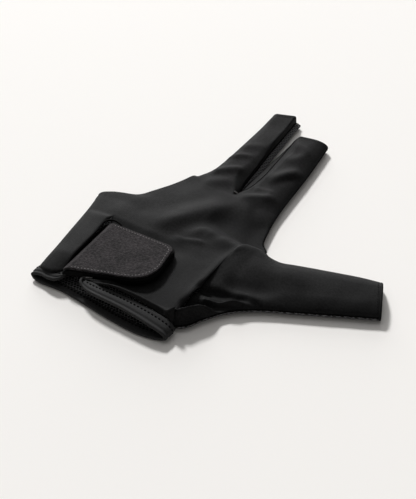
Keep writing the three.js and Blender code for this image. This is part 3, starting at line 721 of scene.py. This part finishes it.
def stitches(name, places, material, length, width):
    """A row of stitches joined in one mesh: each is an ellipsoid along its tangent, sunk to its middle."""
    around = np.linspace(0, 2 * math.pi, STITCH_POINTS, endpoint=False)
    along = np.linspace(STITCH_END, math.pi - STITCH_END, STITCH_POINTS)[:, None]
    parts = (
        np.cos(along) * np.ones(STITCH_POINTS) * length / 2,
        np.sin(along) * np.cos(around) * width / 2,
        np.sin(along) * np.sin(around) * width / 2,
    )
    points, tangents, normals = (np.concatenate(part) for part in zip(*places))
    side = unit(np.cross(normals, tangents))
    base = np.stack([tangents, side, np.cross(tangents, side)], axis=1)
    cloud = points[:, None, None] + np.einsum("ijk,nkl->nijl", np.stack(parts, axis=-1), base)
    k = np.arange(STITCH_POINTS**2).reshape(STITCH_POINTS, STITCH_POINTS)
    quads = quads_of(np.concatenate([k, k[:, :1]], axis=1).T)
    faces = (quads[None] + k.size * np.arange(len(points))[:, None, None]).reshape(-1, 4)
    flat = cloud.reshape(-1, 3)
    made = make_object(name, flat, faces, flat[:, :2], material)
    close_mesh(made, holes=True)
    return made


# Materials

# Pitch of the mesh's holes in metres, and from where to where a thread rises round a hole's middle, as shares
# of the pitch. Then the ribs of the stretch cloth.
MESH_CELL = 0.0017
MESH_THREAD = (0.31, 0.41)
RIBS_PER_METRE = 2200.0


class Nodes:
    """A small helper that adds shader nodes and links them by name."""

    def __init__(self, name):
        self.material = bpy.data.materials.new(name)
        self.material.use_nodes = True
        self.tree = self.material.node_tree
        self.shader = self.tree.nodes["Principled BSDF"]
        place = self.tree.nodes.new("ShaderNodeTexCoord")
        self.place, self.uv = place.outputs["Object"], place.outputs["UV"]

    def add(self, kind, inputs):
        """A node of a kind with values or sockets put into its inputs."""
        node = self.tree.nodes.new(kind)
        for key, value in inputs.items():
            self.put(node.inputs[key], value)
        return node

    def put(self, socket, value):
        """A value or another node's output put into a socket."""
        if isinstance(value, bpy.types.NodeSocket):
            self.tree.links.new(value, socket)
        else:
            socket.default_value = value

    def finish(self, **inputs):
        """The material, once the shader's inputs are set: an underscore stands for a space in their names."""
        for key, value in inputs.items():
            self.put(self.shader.inputs[key.replace("_", " ")], value)
        return self.material

    def math(self, operation, *values):
        """The result of one mathematical operation."""
        node = self.add("ShaderNodeMath", dict(enumerate(values)))
        node.operation = operation
        return node.outputs[0]

    def blend(self, first, share, second, other):
        """The sum of two values, each times its share."""
        return self.math("ADD", self.math("MULTIPLY", first, share), self.math("MULTIPLY", second, other))

    def noise(self, vector, scale, detail=3.0, roughness=0.55):
        """Noise from 0 to 1 with so many cells in a metre."""
        inputs = {"Vector": vector, "Scale": scale, "Detail": detail, "Roughness": roughness}
        return self.add("ShaderNodeTexNoise", inputs).outputs["Fac"]

    def mix(self, share, low, high):
        """A colour at a share of the way from one to another."""
        node = self.tree.nodes.new("ShaderNodeMix")
        node.data_type = "RGBA"
        for index, value in zip((0, 6, 7), (share, low, high)):
            self.put(node.inputs[index], value)
        return node.outputs[2]

    def spread(self, value, low, high, to_low=0.0, to_high=1.0):
        """A value's range from low to high spread over another range."""
        inputs = {"Value": value, "From Min": low, "From Max": high, "To Min": to_low, "To Max": to_high}
        return self.add("ShaderNodeMapRange", inputs).outputs[0]

    def bump(self, height, distance, strength):
        """A normal from a height."""
        inputs = {"Height": height, "Distance": distance, "Strength": strength}
        return self.add("ShaderNodeBump", inputs).outputs[0]


def rgba(colour, factor=1.0):
    """A colour with full alpha, brightened by a factor."""
    return (*(min(c * factor, 1.0) for c in colour), 1.0)


def jersey(name, colour):
    """Stretch jersey: fine ribs along the cloth, a slight mottle and a soft sheen."""
    n = Nodes(name)
    mottle = n.noise(n.place, 90.0, 4.0)
    grain = n.noise(n.place, 950.0, 3.0, 0.7)
    wave = {"Vector": n.uv, "Scale": RIBS_PER_METRE / 6.28, "Distortion": 1.2, "Detail": 1.0}
    ribs = n.add("ShaderNodeTexWave", wave).outputs["Fac"]
    tone = n.spread(n.blend(mottle, 0.4, grain, 0.6), 0.36, 0.64)
    height = n.math("ADD", n.math("MULTIPLY", ribs, 0.5), grain)
    return n.finish(
        Base_Color=n.mix(tone, rgba(colour, 0.55), rgba(colour, 1.5)),
        Roughness=n.spread(mottle, 0.3, 0.7, 0.63, 0.74),
        Normal=n.bump(height, 0.00016, 0.6),
        Specular_IOR_Level=0.06,
        Sheen_Weight=0.03,
        Sheen_Roughness=0.4,
    )


def honeycomb(name, colour):
    """Knitted mesh: round holes in a six-sided lattice, the lesser of the distances to two shifted grids."""
    n = Nodes(name)
    grain = n.noise(n.place, 1500.0, 2.0)
    axes = n.add("ShaderNodeSeparateXYZ", {"Vector": n.uv}).outputs
    holes = []
    for shift in (0.0, 0.5):
        parts = []
        for axis, size in ((axes[0], MESH_CELL), (axes[1], MESH_CELL * math.sqrt(3))):
            turn = n.math("FRACT", n.math("ADD", n.math("DIVIDE", axis, size), shift + 1000.0))
            parts.append(n.math("MULTIPLY", n.math("SUBTRACT", turn, 0.5), size))
        squares = [n.math("MULTIPLY", part, part) for part in parts]
        holes.append(n.math("SQRT", n.math("ADD", *squares)))
    thread = n.spread(n.math("MINIMUM", *holes), *(share * MESH_CELL for share in MESH_THREAD))
    tone = n.math("MULTIPLY", thread, n.spread(grain, 0.3, 0.7, 0.7, 1.2))
    return n.finish(
        Base_Color=n.mix(tone, rgba(colour, 0.02), rgba(colour, 5.5)),
        Normal=n.bump(n.math("ADD", thread, n.math("MULTIPLY", grain, 0.3)), 0.0004, 0.9),
        Roughness=0.75,
        Specular_IOR_Level=0.3,
    )


def pile(name, colour, light):
    """Rough pile of the strap's top: clumped noise in two tones with a deep bump."""
    n = Nodes(name)
    clump = n.noise(n.place, 900.0, 4.0, 0.65)
    tone = n.blend(clump, 0.8, n.noise(n.place, 120.0, 3.0), 0.3)
    return n.finish(
        Base_Color=n.mix(n.spread(tone, 0.44, 0.72), rgba(colour), rgba(light)),
        Normal=n.bump(clump, 0.0006, 0.8),
        Roughness=0.95,
        Specular_IOR_Level=0.15,
        Sheen_Weight=0.1,
    )


def plain_cloth(name, colour, roughness, grain_size, depth, shine=0.3):
    """A woven strip or thread: grain in colour and bump at one scale."""
    n = Nodes(name)
    grain = n.noise(n.place, 1.0 / grain_size, 3.0)
    return n.finish(
        Base_Color=n.mix(n.spread(grain, 0.3, 0.7), rgba(colour, 0.7), rgba(colour, 1.3)),
        Normal=n.bump(grain, depth, 0.6),
        Roughness=roughness,
        Specular_IOR_Level=shine,
    )


# How each material is made: the function, the names of its colours and its further values.
MATERIALS = {
    "stretch cloth": (jersey, ("cloth",)),
    "knitted mesh": (honeycomb, ("mesh",)),
    "binding strip": (plain_cloth, ("binding",), 0.8, 0.0005, 0.0002),
    "strap backing": (plain_cloth, ("strap",), 0.8, 0.0006, 0.0002, 0.06),
    "strap pile": (pile, ("pile", "pile_light")),
    "loop patch": (pile, ("dark_thread", "strap")),
    "light thread": (plain_cloth, ("thread",), 0.7, 0.0002, 0.00005),
    # The dark thread's low shine and dark colour also paint the shade of the creases along the seams, besides
    # the thread's own colour.
    "dark thread": (plain_cloth, ("dark_thread",), 0.9, 0.0003, 0.0001, 0.04),
    "floor": (plain_cloth, ("floor",), 0.8, 0.01, 0.0),
}


def material(name):
    """The named material, made once from the colours in the panel."""
    make, colours, *values = MATERIALS[name]
    found = (getattr(bpy.context.scene.glove_colours, colour) for colour in colours)
    return bpy.data.materials.get(name) or make(name, *found, *values)


# Settings


def length_property(name, description, default):
    """A size in millimetres."""
    return bpy.props.FloatProperty(name=name, description=description, default=default, min=0.0)


def colour_property(name, description, default):
    """A linear colour."""
    return bpy.props.FloatVectorProperty(
        name=name, description=description, default=default, subtype="COLOR", size=3, min=0.0, max=1.0
    )


class GloveSizes(bpy.types.PropertyGroup):
    """Sizes of the glove in millimetres."""

    wall: length_property("Cloth", "Thickness of one layer of cloth, in mm", 0.8)
    rows: bpy.props.IntProperty(name="Rows", description="Rows of points between two sections", default=12)
    seam_height: length_property("Seam height", "Level where back and palm meet, in mm", 3.2)
    seam_gap: length_property("Seam gap", "Clear width between back and palm at a seam, in mm", 0.3)
    lowest_back: length_property("Lowest back", "No furrow of the back goes below this, in mm", 3.9)
    fold_depth: bpy.props.FloatProperty(name="Fold depth", description="Factor on each fold", default=1.45)
    back_rounding: length_property("Back rounding", "How far in the back reaches its full height, in mm", 5.0)
    palm_rounding: length_property("Palm rounding", "How far in the palm lies flat, in mm", 2.5)
    palm_spread: length_property("Palm spread", "Wider curl where a closed edge ends, in mm", 5.0)
    palm_lip: length_property("Palm lip", "How far the mesh stands out by the middle finger, in mm", 2.8)
    strip_roll: length_property("Strip roll", "How far the strip by the slit rolls under, in mm", 1.0)
    strip_lap: length_property("Strip lap", "How far the strip laps over the wrist's binding, in mm", 3.8)
    seam_step: length_property("Seam step", "How far the thumb lies below the hand at their seam, in mm", 0.9)
    seam_lap: length_property("Seam lap", "How far the hand's edge overlaps the thumb, in mm", 1.2)
    binding_wall: length_property("Binding", "Thickness of the wrist's binding, in mm", 1.5)
    bead: length_property("Bead", "Half the thickness of the binding's rolled edge, in mm", 0.75)


class GloveColours(bpy.types.PropertyGroup):
    """Colours of the glove's cloths, as linear values."""

    cloth: colour_property("Cloth", "Stretch cloth of the back", (0.0098, 0.0098, 0.01))
    mesh: colour_property("Mesh", "Knitted mesh of the palm", (0.034, 0.034, 0.035))
    binding: colour_property("Binding", "Strip round the wrist", (0.019, 0.019, 0.0195))
    strap: colour_property("Strap", "Backing of the strap", (0.0035, 0.0035, 0.0035))
    pile: colour_property("Pile", "Rough top of the strap", (0.005, 0.0042, 0.0045))
    pile_light: colour_property("Pile tips", "Lighter hairs of the pile", (0.041, 0.035, 0.0375))
    thread: colour_property("Thread", "Light stitches on the strap", (0.2, 0.19, 0.19))
    # Dark thread: partly the thread's own black and partly painted shade. It is darker than the cloth so that
    # the seam cords also paint the shade in the seams' creases and the dark outlines along the edges.
    dark_thread: colour_property("Dark thread", "Stitches of binding and seams", (0.0028, 0.0028, 0.0028))
    floor: colour_property("Floor", "Floor of the studio", (0.93, 0.91, 0.885))


# Pieces


def fit(made, node=None):
    """Rides a piece on the glove's one body and lets it stand for a solid."""
    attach(made, "root")
    if node:
        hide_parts(node)


class GLOVE_OT_back(bpy.types.Operator):
    """Makes the back of the hand with the backs of the index and middle sleeves"""

    bl_idname = "glove.back"
    bl_label = "Back Panel"

    def execute(self, context):
        sizes = context.scene.glove_sizes
        grids = [back_grid(side, sizes) for side in BACK_COLUMNS]
        made = sheet("back_cloth", grids, material("stretch cloth"), sizes.wall)
        fit(made, "back_panel")
        return {"FINISHED"}


class GLOVE_OT_palm(bpy.types.Operator):
    """Makes the mesh palm with the undersides of the index and middle sleeves"""

    bl_idname = "glove.palm"
    bl_label = "Palm Panel"

    def execute(self, context):
        sizes = context.scene.glove_sizes
        grids = [palm_grid(side, sizes) for side in PALM_COLUMNS]
        made = sheet("palm_mesh", grids, material("knitted mesh"), sizes.wall, flip=True)
        fit(made, "palm_panel")
        return {"FINISHED"}


# Over how many sections from the seam the thumb's cloth is shifted under the hand's edge, and over how many
# it dips there.
SEAM_LAP_REACH = 0.5
SEAM_DIP_REACH = 0.12


class GLOVE_OT_thumb(bpy.types.Operator):
    """Makes the thumb's upper cloth and the mesh under it"""

    bl_idname = "glove.thumb"
    bl_label = "Thumb"

    def execute(self, context):
        sizes = context.scene.glove_sizes
        t, xy, full = thumb_grid(sizes)
        top = raised(xy, back_height(xy, full, sizes))
        top[..., 0] -= sizes.seam_lap * np.maximum(1 - t / SEAM_LAP_REACH, 0)
        top[..., 2] -= sizes.wall * np.maximum(1 - t / SEAM_DIP_REACH, 0)
        under = raised(xy, palm_height(xy, sizes))
        upper = sheet("thumb_cloth", [top], material("stretch cloth"), sizes.wall)
        lower = sheet("thumb_mesh", [under], material("knitted mesh"), sizes.wall, flip=True)
        fit(upper, "thumb_back")
        fit(lower, "thumb_palm")
        return {"FINISHED"}


# The tape's points from one section to the next, the middle that its outer face looks away from, how far
# within its outer edge the bead lies and its sink as a share of the wall, and the share of its width where it
# is sewn.
TAPE_STEPS = 16
TAPE_MIDDLE = (-22, 0, 4.5)
BEAD_INSET = 0.55
BEAD_SINK = 0.5
TAPE_SEWN_AT = 0.3
# The stitches on the outer and the inner face as shares of the wall, their pitch, and their length and width.
TAPE_STITCH_DEPTHS = (-0.02, -1.02)
TAPE_STITCH_PITCH = 2.0
TAPE_STITCH = (1.25, 0.95)


class GLOVE_OT_binding(bpy.types.Operator):
    """Makes the folded strip round the wrist, its rolled edge and its stitches"""

    bl_idname = "glove.binding"
    bl_label = "Wrist Binding"

    def execute(self, context):
        sizes = context.scene.glove_sizes
        last = len(BINDING_SECTIONS) - 1
        t = np.linspace(0, last, last * TAPE_STEPS + 1)
        x, z, inner, outer, drop = (between(values, t) for values in BINDING.values())
        path = np.stack([x, inner, z], axis=1)
        tangent = unit(np.gradient(np.stack([x, 0 * x, z], axis=1), axis=0))
        normal = unit(np.cross(tangent, [0, 1.0, 0]))
        outward = np.sign(((path - TAPE_MIDDLE) * normal).sum(1)).mean()
        normal = normal * (1 if outward > 0 else -1)
        width = inner - outer
        side = np.stack([0 * x, -np.sqrt(1 - (drop / width) ** 2), -drop / width], axis=1)
        profile = tape_profile(width, sizes.binding_wall)
        made = sweep("wrist_tape", path, side, normal, profile, material("binding strip"))
        fit(made, "wrist_binding")
        rim = path + side * (width - BEAD_INSET)[:, None] - BEAD_SINK * sizes.binding_wall * normal
        rim, _ = spaced(np.concatenate([rim, smooth_path(BEAD_TURN, 6)]), 0.5)
        bead = tube("wrist_bead", smooth_line(rim, 5), sizes.bead, material("binding strip"), 12)
        fit(bead)
        rows = []
        for depth in TAPE_STITCH_DEPTHS:
            line = path + side * (TAPE_SEWN_AT * width)[:, None] + normal * (depth * sizes.binding_wall)
            points, tangents = spaced(line, TAPE_STITCH_PITCH)
            rows.append((points, tangents, nearest_rows(points, line, normal)))
        sewn = stitches("wrist_stitches", rows, material("dark thread"), *TAPE_STITCH)
        fit(sewn)
        return {"FINISHED"}


def tape_profile(width, wall):
    """The tape's section at each place of its length, in shares of its width across and of its wall in
    thickness: an arched strip with two dips, at its stitches and towards its outer edge. The first coordinate
    runs to the outer edge."""
    across_top = np.linspace(0.02, 0.97, 16)
    dips = ((0.76, 1.0), (TAPE_SEWN_AT, 0.5))
    dip = sum(depth * np.exp(-(((across_top - at) / 0.07) ** 2)) for at, depth in dips)
    top = np.stack([across_top, 0.16 * np.sin(np.pi * across_top) - 0.3 * dip], axis=1)
    edge = np.array([(1.0, -0.25), (1.0, -0.75)])
    under = np.stack([across_top[::-1], np.full(16, -1.0)], axis=1)
    shape = np.concatenate([top, edge, under])
    return shape[None] * np.stack([width, np.full_like(width, wall)], axis=1)[:, None]


# The strap: the edges of its rough pad, how far its top right corner leans in, and the reach of its two
# corners.
PAD = {"left": -46.1, "right": -5.4, "lean": 1.5, "top": -18.4, "bottom_left": -57.6, "bottom_right": -44.9}
CORNER_TOP = 5.0
CORNER_BOTTOM = 11.0
# The left end of the backing, the height of its underside there and its slope, the backing's margin round the
# pad, how much shorter it is at its left end, and how far the free end curls up.
STRAP_LEFT = -49.8
STRAP_UNDER = 8.0
STRAP_SLOPE = 0.035
STRAP_MARGIN = 0.8
STRAP_TUCK = 7.0
STRAP_CURL = 1.2
# The way towards the camera by which a curled-up place moves for each millimetre of its rise.
CURL_SHIFT = (0.59, -0.94)
# Points round a layer's outline, and steps of the rings over its faces and of its rim's quarter circles.
OUTLINE_POINTS = 240
FACE_RINGS = 30
RIM_RINGS = 5
# The row of stitches: its inset, its height over the strap's underside, how far from the pad's left edge it
# begins, its pitch, and a stitch's length and width.
SEWN_INSET = 1.3
SEWN_LEVEL = 2.66
SEWN_START = 2.6
SEWN_PITCH = 1.7
SEWN_STITCH = (0.95, 0.42)
# A small webbing loop at the strap's upper left corner, and the bar tack at the slit's right corner.
STRAP_LOOP = [
    (-49.6, -21.5, 9.2),
    (-49.1, -19.9, 9.9),
    (-48.1, -17.6, 10.2),
    (-45.2, -16.2, 10.4),
    (-41.7, -16.4, 10.2),
    (-39.6, -17.6, 9.6),
]
SLIT_TACK = [(-33.6, -56.2, 8.9), (-30.6, -54.6, 9.0)]
# The loop patch: its left, right, lower and upper edge.
PATCH = (-38, -12, -46, -22)


def tab_outline(margin, left, count):
    """The pad's outline, or the strap's with a margin: straight sides and two corners as quadratic curves."""
    top, right = PAD["top"] + margin, PAD["right"] + margin
    slope = (PAD["bottom_right"] - PAD["bottom_left"]) / (PAD["right"] - PAD["left"])

    def bottom(x):
        return PAD["bottom_left"] + slope * (x - PAD["left"]) - margin

    def corner(a, b, c):
        u = np.linspace(0, 1, 13)[:, None]
        return (1 - u) ** 2 * np.array(a) + 2 * u * (1 - u) * np.array(b) + u**2 * np.array(c)

    turn, lean = right - CORNER_BOTTOM, right - PAD["lean"]
    right_end = bottom(right)
    points = [[(left, top)]]
    if left < PAD["left"]:
        points.append([(left, bottom(PAD["left"]) + STRAP_TUCK)])
    points.append([(PAD["left"], bottom(PAD["left"]))])
    points.append(corner((turn, bottom(turn)), (right, right_end), (right, right_end + CORNER_BOTTOM)))
    points.append(corner((lean, top - CORNER_TOP), (lean, top), (lean - CORNER_TOP, top)))
    ring = np.concatenate([np.array(part, float) for part in points])
    ring = np.concatenate([ring, ring[:1]])
    return places_at(ring, np.linspace(0, lengths(ring)[-1], count, endpoint=False))


def strap_lift(x):
    """How far the strap curls up above its even rise: as the square of the way to its free end."""
    return STRAP_CURL * (np.clip(x - STRAP_LEFT, 0, None) / (PAD["right"] - STRAP_LEFT)) ** 2


def strap_level(x):
    """The height of the strap's underside: it rises from its sewn end and curls up towards its free end."""
    return STRAP_UNDER + STRAP_SLOPE * (x - STRAP_LEFT) + strap_lift(x)


def slab(name, margin, left, low, high, bevel, material, dive, depth):
    """A layer of the strap between two heights above its underside with rounded rims: rings of the outline,
    drawn in towards its middle, over both faces and by the steps of the rim's quarter circles. Its left end
    dives by the depth, and the dive ends at its own distance to the right of the pad's left edge."""
    outline = tab_outline(margin, left, OUTLINE_POINTS)
    middle = outline.mean(0)
    reach = np.linalg.norm(outline - middle, axis=1)
    quarter = np.linspace(0, np.pi / 2, RIM_RINGS)
    inset, rise = bevel * (1 - np.cos(quarter)), bevel * np.sin(quarter)
    rim = 1 - inset[:, None] / reach
    face = np.linspace(0.97, 0.0, FACE_RINGS)[:, None] * rim[-1]
    share = np.concatenate([face[::-1], rim[::-1], rim, face])
    under, over = np.full(FACE_RINGS, low), np.full(FACE_RINGS, high)
    height = np.concatenate([under, low + bevel - rise[::-1], high - bevel + rise, over])
    xy = middle + (outline - middle) * share[..., None]
    z = strap_level(xy[..., 0]) + height[:, None]
    xy = xy + strap_lift(xy[..., :1]) * CURL_SHIFT
    z -= depth * (1 - smoothstep(xy[..., 0], left, PAD["left"] + dive))
    grid = raised(xy, z)
    grid = np.concatenate([grid, grid[:, :1]], axis=1)
    indices = np.arange(grid.shape[0] * grid.shape[1]).reshape(grid.shape[:2])
    points, faces, uv = weld(grid.reshape(-1, 3), quads_of(indices), grid[..., :2].reshape(-1, 2))
    made = make_object(name, points, faces, uv, material)
    close_mesh(made)
    return made


class GLOVE_OT_strap(bpy.types.Operator):
    """Makes the strap's backing, rough top, stitches and webbing loop, the slit's tack and the loop patch"""

    bl_idname = "glove.strap"
    bl_label = "Strap"

    def execute(self, context):
        backing, light = material("strap backing"), material("light thread")
        base = slab("strap_backing", STRAP_MARGIN, STRAP_LEFT, -2.0, 1.4, 0.6, backing, 5, 2.6)
        pad = slab("strap_top", 0, PAD["left"], 1.5, 2.7, 0.4, material("strap pile"), 2.5, 1.1)
        fit(base, "strap_base")
        fit(pad, "strap_pad")
        outline = tab_outline(-SEWN_INSET, PAD["left"] + SEWN_INSET, 400)
        line = raised(outline, strap_level(outline[:, 0]) + SEWN_LEVEL)
        line[:, :2] += strap_lift(line[:, :1]) * CURL_SHIFT
        points, tangents = spaced(line[line[:, 0] > PAD["left"] + SEWN_START], SEWN_PITCH)
        sewn = stitches("strap_stitches", [(points, tangents, upwards(points))], light, *SEWN_STITCH)
        fit(sewn)
        fit(tube("strap_loop", smooth_path(STRAP_LOOP, 8), 0.55, backing, 8))
        fit(stitches("slit_tack", [bar_tack(SLIT_TACK, 0.55)], light, 1.0, 0.4))
        patch = self.patch()
        fit(patch, "loop_patch")
        return {"FINISHED"}

    def patch(self):
        """The loop patch: a sheet whose height follows the back under the strap, as the square of x."""
        left, right, lower, upper = PATCH
        x, y = np.meshgrid(np.linspace(left, right, 40), np.linspace(lower, upper, 36))
        low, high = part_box("loop_patch")
        z = lerp(low[2] / MM + 0.9, high[2] / MM - 0.3, ((x - left) / (right - left)) ** 2)
        return sheet("loop_pile", [np.stack([x, y, z], axis=-1)], material("loop patch"), 0.5)


# The cords and the index seam are of the dark thread: partly real seams and partly painted shade of the
# seams' creases and of the dark outlines along the edges.
# Cords along the sewn edges: how far in they lie, the pitch of their points, and their radius with the height
# and length of its waves in millimetres and points. The same for the index sleeve's seam.
SEAM_INSET = 0.2
SEAM_PITCH = 0.2
SEAM_WAVES = (0.5, 0.08, 5)
INDEX_PITCH = 0.25
INDEX_WAVES = (0.38, 0.1, 6)
# The seam on the index sleeve's left side, seen from above.
INDEX_SEAM = [
    (-5.4, 38.6), (-4.1, 42.5), (-3.0, 47.5), (-2.2, 54.5), (-1.7, 60.6),
    (-2.3, 68.6), (-2.8, 77.6), (-3.4, 85), (-3.6, 92), (-3.7, 97),
]
# Light stitches where the gap between the sleeves begins and at the tip of the mesh beside the middle finger.
TACKS = [[(-7.9, 38.6, 7.7), (-5.3, 37.6, 7.7)], [(-11.4, 112.6, 3.5), (-9.6, 112.2, 2.6)]]


class GLOVE_OT_seams(bpy.types.Operator):
    """Makes the sewn edges between back and palm, the index sleeve's seam, the tacks and the turned hems"""

    bl_idname = "glove.seams"
    bl_label = "Seams"

    def execute(self, context):
        sizes = context.scene.glove_sizes
        thread = material("dark thread")
        self.index_seam(sizes, thread)
        tacks = [bar_tack(line, 0.7) for line in TACKS]
        fit(stitches("fork_tack", tacks, material("light thread"), 0.9, 0.4))
        self.hems(sizes, thread)
        for number, line in enumerate(closed_edges(), 1):
            path = raised(line + inward_of(line) * SEAM_INSET, sizes.seam_height)
            points, _ = spaced(smooth_path(path, 1), SEAM_PITCH)
            fit(tube(f"seam_{number}", points, wavy(points, *SEAM_WAVES), thread, 6))
        return {"FINISHED"}

    def index_seam(self, sizes, thread):
        """The seam along the index sleeve's left side, a thin cord on the back's surface. Its dark thread
        also paints the shade of the crease there.
        """
        xy = smooth_path(INDEX_SEAM, 10)
        t = np.interp(xy[:, 1], HAND["divide_r"][FORK:, 1], np.arange(FORK, TIP + 1))
        start, end = hand_rows("right", t)
        share = np.linalg.norm(xy - start[:, :2], axis=1) / np.linalg.norm(end[:, :2] - start[:, :2], axis=1)
        full = height_across("right", t, start, end, share[:, None])[:, 0]
        points, _ = spaced(raised(xy, back_height(xy, full, sizes)), INDEX_PITCH)
        fit(tube("index_seam", points, wavy(points, *INDEX_WAVES), thread, 6))

    def hems(self, sizes, thread):
        """The turned hems at the open ends of the two sleeves and the thumb."""
        backs = [back_grid(side, sizes)[-1] for side in BACK_COLUMNS]
        palms = [palm_grid(side, sizes)[-1] for side in PALM_COLUMNS]
        _, xy, full = thumb_grid(sizes)
        backs.append(raised(xy[-1], back_height(xy, full, sizes)[-1]))
        palms.append(raised(xy[-1], palm_height(xy, sizes)[-1]))
        ends = (("hem_middle", (-0.3, 1, 0)), ("hem_index", (0.15, 1, 0)), ("hem_thumb", (1, 0.3, 0)))
        for (name, outward), back, palm in zip(ends, backs, palms):
            ring = np.concatenate([back, palm[::-1]])
            for made in hem(name, ring, outward, material("stretch cloth"), thread):
                fit(made)


def inward_of(line):
    """Unit vectors across a closed edge towards the cloth, the side nearer to the hand's middle lines."""
    tangent = unit(np.gradient(line, axis=0))
    across_line = np.stack([-tangent[:, 1], tangent[:, 0]], axis=1)
    here = distance_to_hand(line + across_line)
    there = distance_to_hand(line - across_line)
    return across_line * np.sign(there - here)[:, None]


def distance_to_hand(xy):
    """How far places lie from the middle lines of the hand's two sides and the thumb."""
    t, u = np.linspace(0, TIP, 60), np.linspace(0, THUMB_TIP, 40)
    sides = (
        (HAND["left"], HAND["divide_l"], t),
        (HAND["divide_r"], HAND["right"], t),
        (THUMB["upper"], THUMB["lower"], u),
    )
    middles = [lerp(between(a, at)[:, :2], between(b, at)[:, :2], 0.5) for a, b, at in sides]
    return distance_to_lines(xy, middles)


# Stage: floor, lights and camera

# The camera's direction and field of view, and the picture's scale at the glove and its height in pixels.
CAMERA_AZIMUTH = math.radians(32)
CAMERA_ELEVATION = math.radians(42)
CAMERA_FIELD = math.radians(24)
MM_PER_PIXEL = 0.5
PICTURE_HEIGHT = 499
# The lamps: each one's name, the way to it from the glove as azimuth and elevation in degrees, its distance
# and width in metres, and its power in watts.
LAMPS = [
    ("key", 139, 37, 20.0, 2.8, 3700),
    ("softbox", 139, 62, 4.0, 5.0, 32),
    ("backdrop", 125, 11, 4.0, 3.0, 110),
]
STUDIO_COLOUR = (1.0, 0.985, 0.965, 1.0)
STUDIO_STRENGTH = 0.16
# Half the floor's width and how far it lies below the glove, in metres.
FLOOR_HALF = 3.0
FLOOR_DROP = 0.00005


def aim(made, place):
    """Puts an object at a place and turns its -Z towards the glove's origin."""
    made.location = place
    made.rotation_euler = (-Vector(place)).to_track_quat("-Z", "Y").to_euler()


class GLOVE_OT_stage(bpy.types.Operator):
    """Makes the pale floor, the studio lights and the camera"""

    bl_idname = "glove.stage"
    bl_label = "Stage"

    def execute(self, context):
        self.floor(context.scene)
        self.lights(context.scene)
        self.camera(context.scene)
        return {"FINISHED"}

    def floor(self, scene):
        """A pale square under the glove, of one colour and even roughness."""
        mesh = bpy.data.meshes.new("floor")
        corners = [(x * FLOOR_HALF, y * FLOOR_HALF, 0) for x, y in ((-1, -1), (1, -1), (1, 1), (-1, 1))]
        mesh.from_pydata(corners, [], [(0, 1, 2, 3)])
        made = bpy.data.objects.new("floor", mesh)
        made.location.z = -FLOOR_DROP
        scene.collection.objects.link(made)
        mesh.materials.append(material("floor"))
        tree = mesh.materials[0].node_tree
        colour = tree.nodes["Principled BSDF"].inputs["Base Color"]
        tree.links.remove(colour.links[0])
        colour.default_value = rgba(scene.glove_colours.floor)

    def lights(self, scene):
        """The world's even light and the lamps."""
        world = bpy.data.worlds.new("studio")
        world.use_nodes = True
        sky = world.node_tree.nodes["Background"].inputs
        sky["Color"].default_value = STUDIO_COLOUR
        sky["Strength"].default_value = STUDIO_STRENGTH
        scene.world = world
        scene.view_settings.view_transform = "Standard"
        for name, azimuth, elevation, distance, size, power in LAMPS:
            lamp = bpy.data.lights.new(name, "AREA")
            lamp.shape = "DISK"
            lamp.size = size
            lamp.energy = power
            made = bpy.data.objects.new(name, lamp)
            scene.collection.objects.link(made)
            turn, rise = math.radians(azimuth), math.radians(elevation)
            flat = distance * math.cos(rise)
            aim(made, (flat * math.cos(turn), flat * math.sin(turn), distance * math.sin(rise)))

    def camera(self, scene):
        """The camera, in its direction and as far away as the picture's scale asks."""
        lens = bpy.data.cameras.new("camera")
        lens.sensor_fit = "VERTICAL"
        lens.angle = CAMERA_FIELD
        eye = bpy.data.objects.new("camera", lens)
        scene.collection.objects.link(eye)
        focal = PICTURE_HEIGHT / 2 / math.tan(CAMERA_FIELD / 2)
        far = MM_PER_PIXEL * MM * focal
        back = (
            math.sin(CAMERA_AZIMUTH) * math.cos(CAMERA_ELEVATION),
            -math.cos(CAMERA_AZIMUTH) * math.cos(CAMERA_ELEVATION),
            math.sin(CAMERA_ELEVATION),
        )
        aim(eye, tuple(far * c for c in back))
        scene.camera = eye


class GLOVE_PT_panel(bpy.types.Panel):
    """Lists the glove's pieces, sizes and colours"""

    bl_idname = "GLOVE_PT_panel"
    bl_label = "Billiard Glove"
    bl_space_type = "VIEW_3D"
    bl_region_type = "UI"
    bl_category = "Glove"

    def draw(self, context):
        for operator in PIECES:
            self.layout.operator(operator.bl_idname)
        for group in (context.scene.glove_sizes, context.scene.glove_colours):
            for name in group.bl_rna.properties.keys():
                if name not in ("rna_type", "name"):
                    self.layout.prop(group, name)


PIECES = (
    GLOVE_OT_palm,
    GLOVE_OT_back,
    GLOVE_OT_thumb,
    GLOVE_OT_binding,
    GLOVE_OT_strap,
    GLOVE_OT_seams,
    GLOVE_OT_stage,
)
CLASSES = (GloveSizes, GloveColours, *PIECES, GLOVE_PT_panel)


def register():
    """Registers the classes and gives every scene the sizes and colours."""
    for cls in CLASSES:
        bpy.utils.register_class(cls)
    bpy.types.Scene.glove_sizes = bpy.props.PointerProperty(type=GloveSizes)
    bpy.types.Scene.glove_colours = bpy.props.PointerProperty(type=GloveColours)


def unregister():
    """Takes them away again."""
    del bpy.types.Scene.glove_colours
    del bpy.types.Scene.glove_sizes
    for cls in reversed(CLASSES):
        bpy.utils.unregister_class(cls)


def main():
    """Makes every piece and the stage."""
    register()
    bpy.ops.glove.palm()
    bpy.ops.glove.back()
    bpy.ops.glove.thumb()
    bpy.ops.glove.binding()
    bpy.ops.glove.strap()
    bpy.ops.glove.seams()
    bpy.ops.glove.stage()


if __name__ == "__main__":
    main()
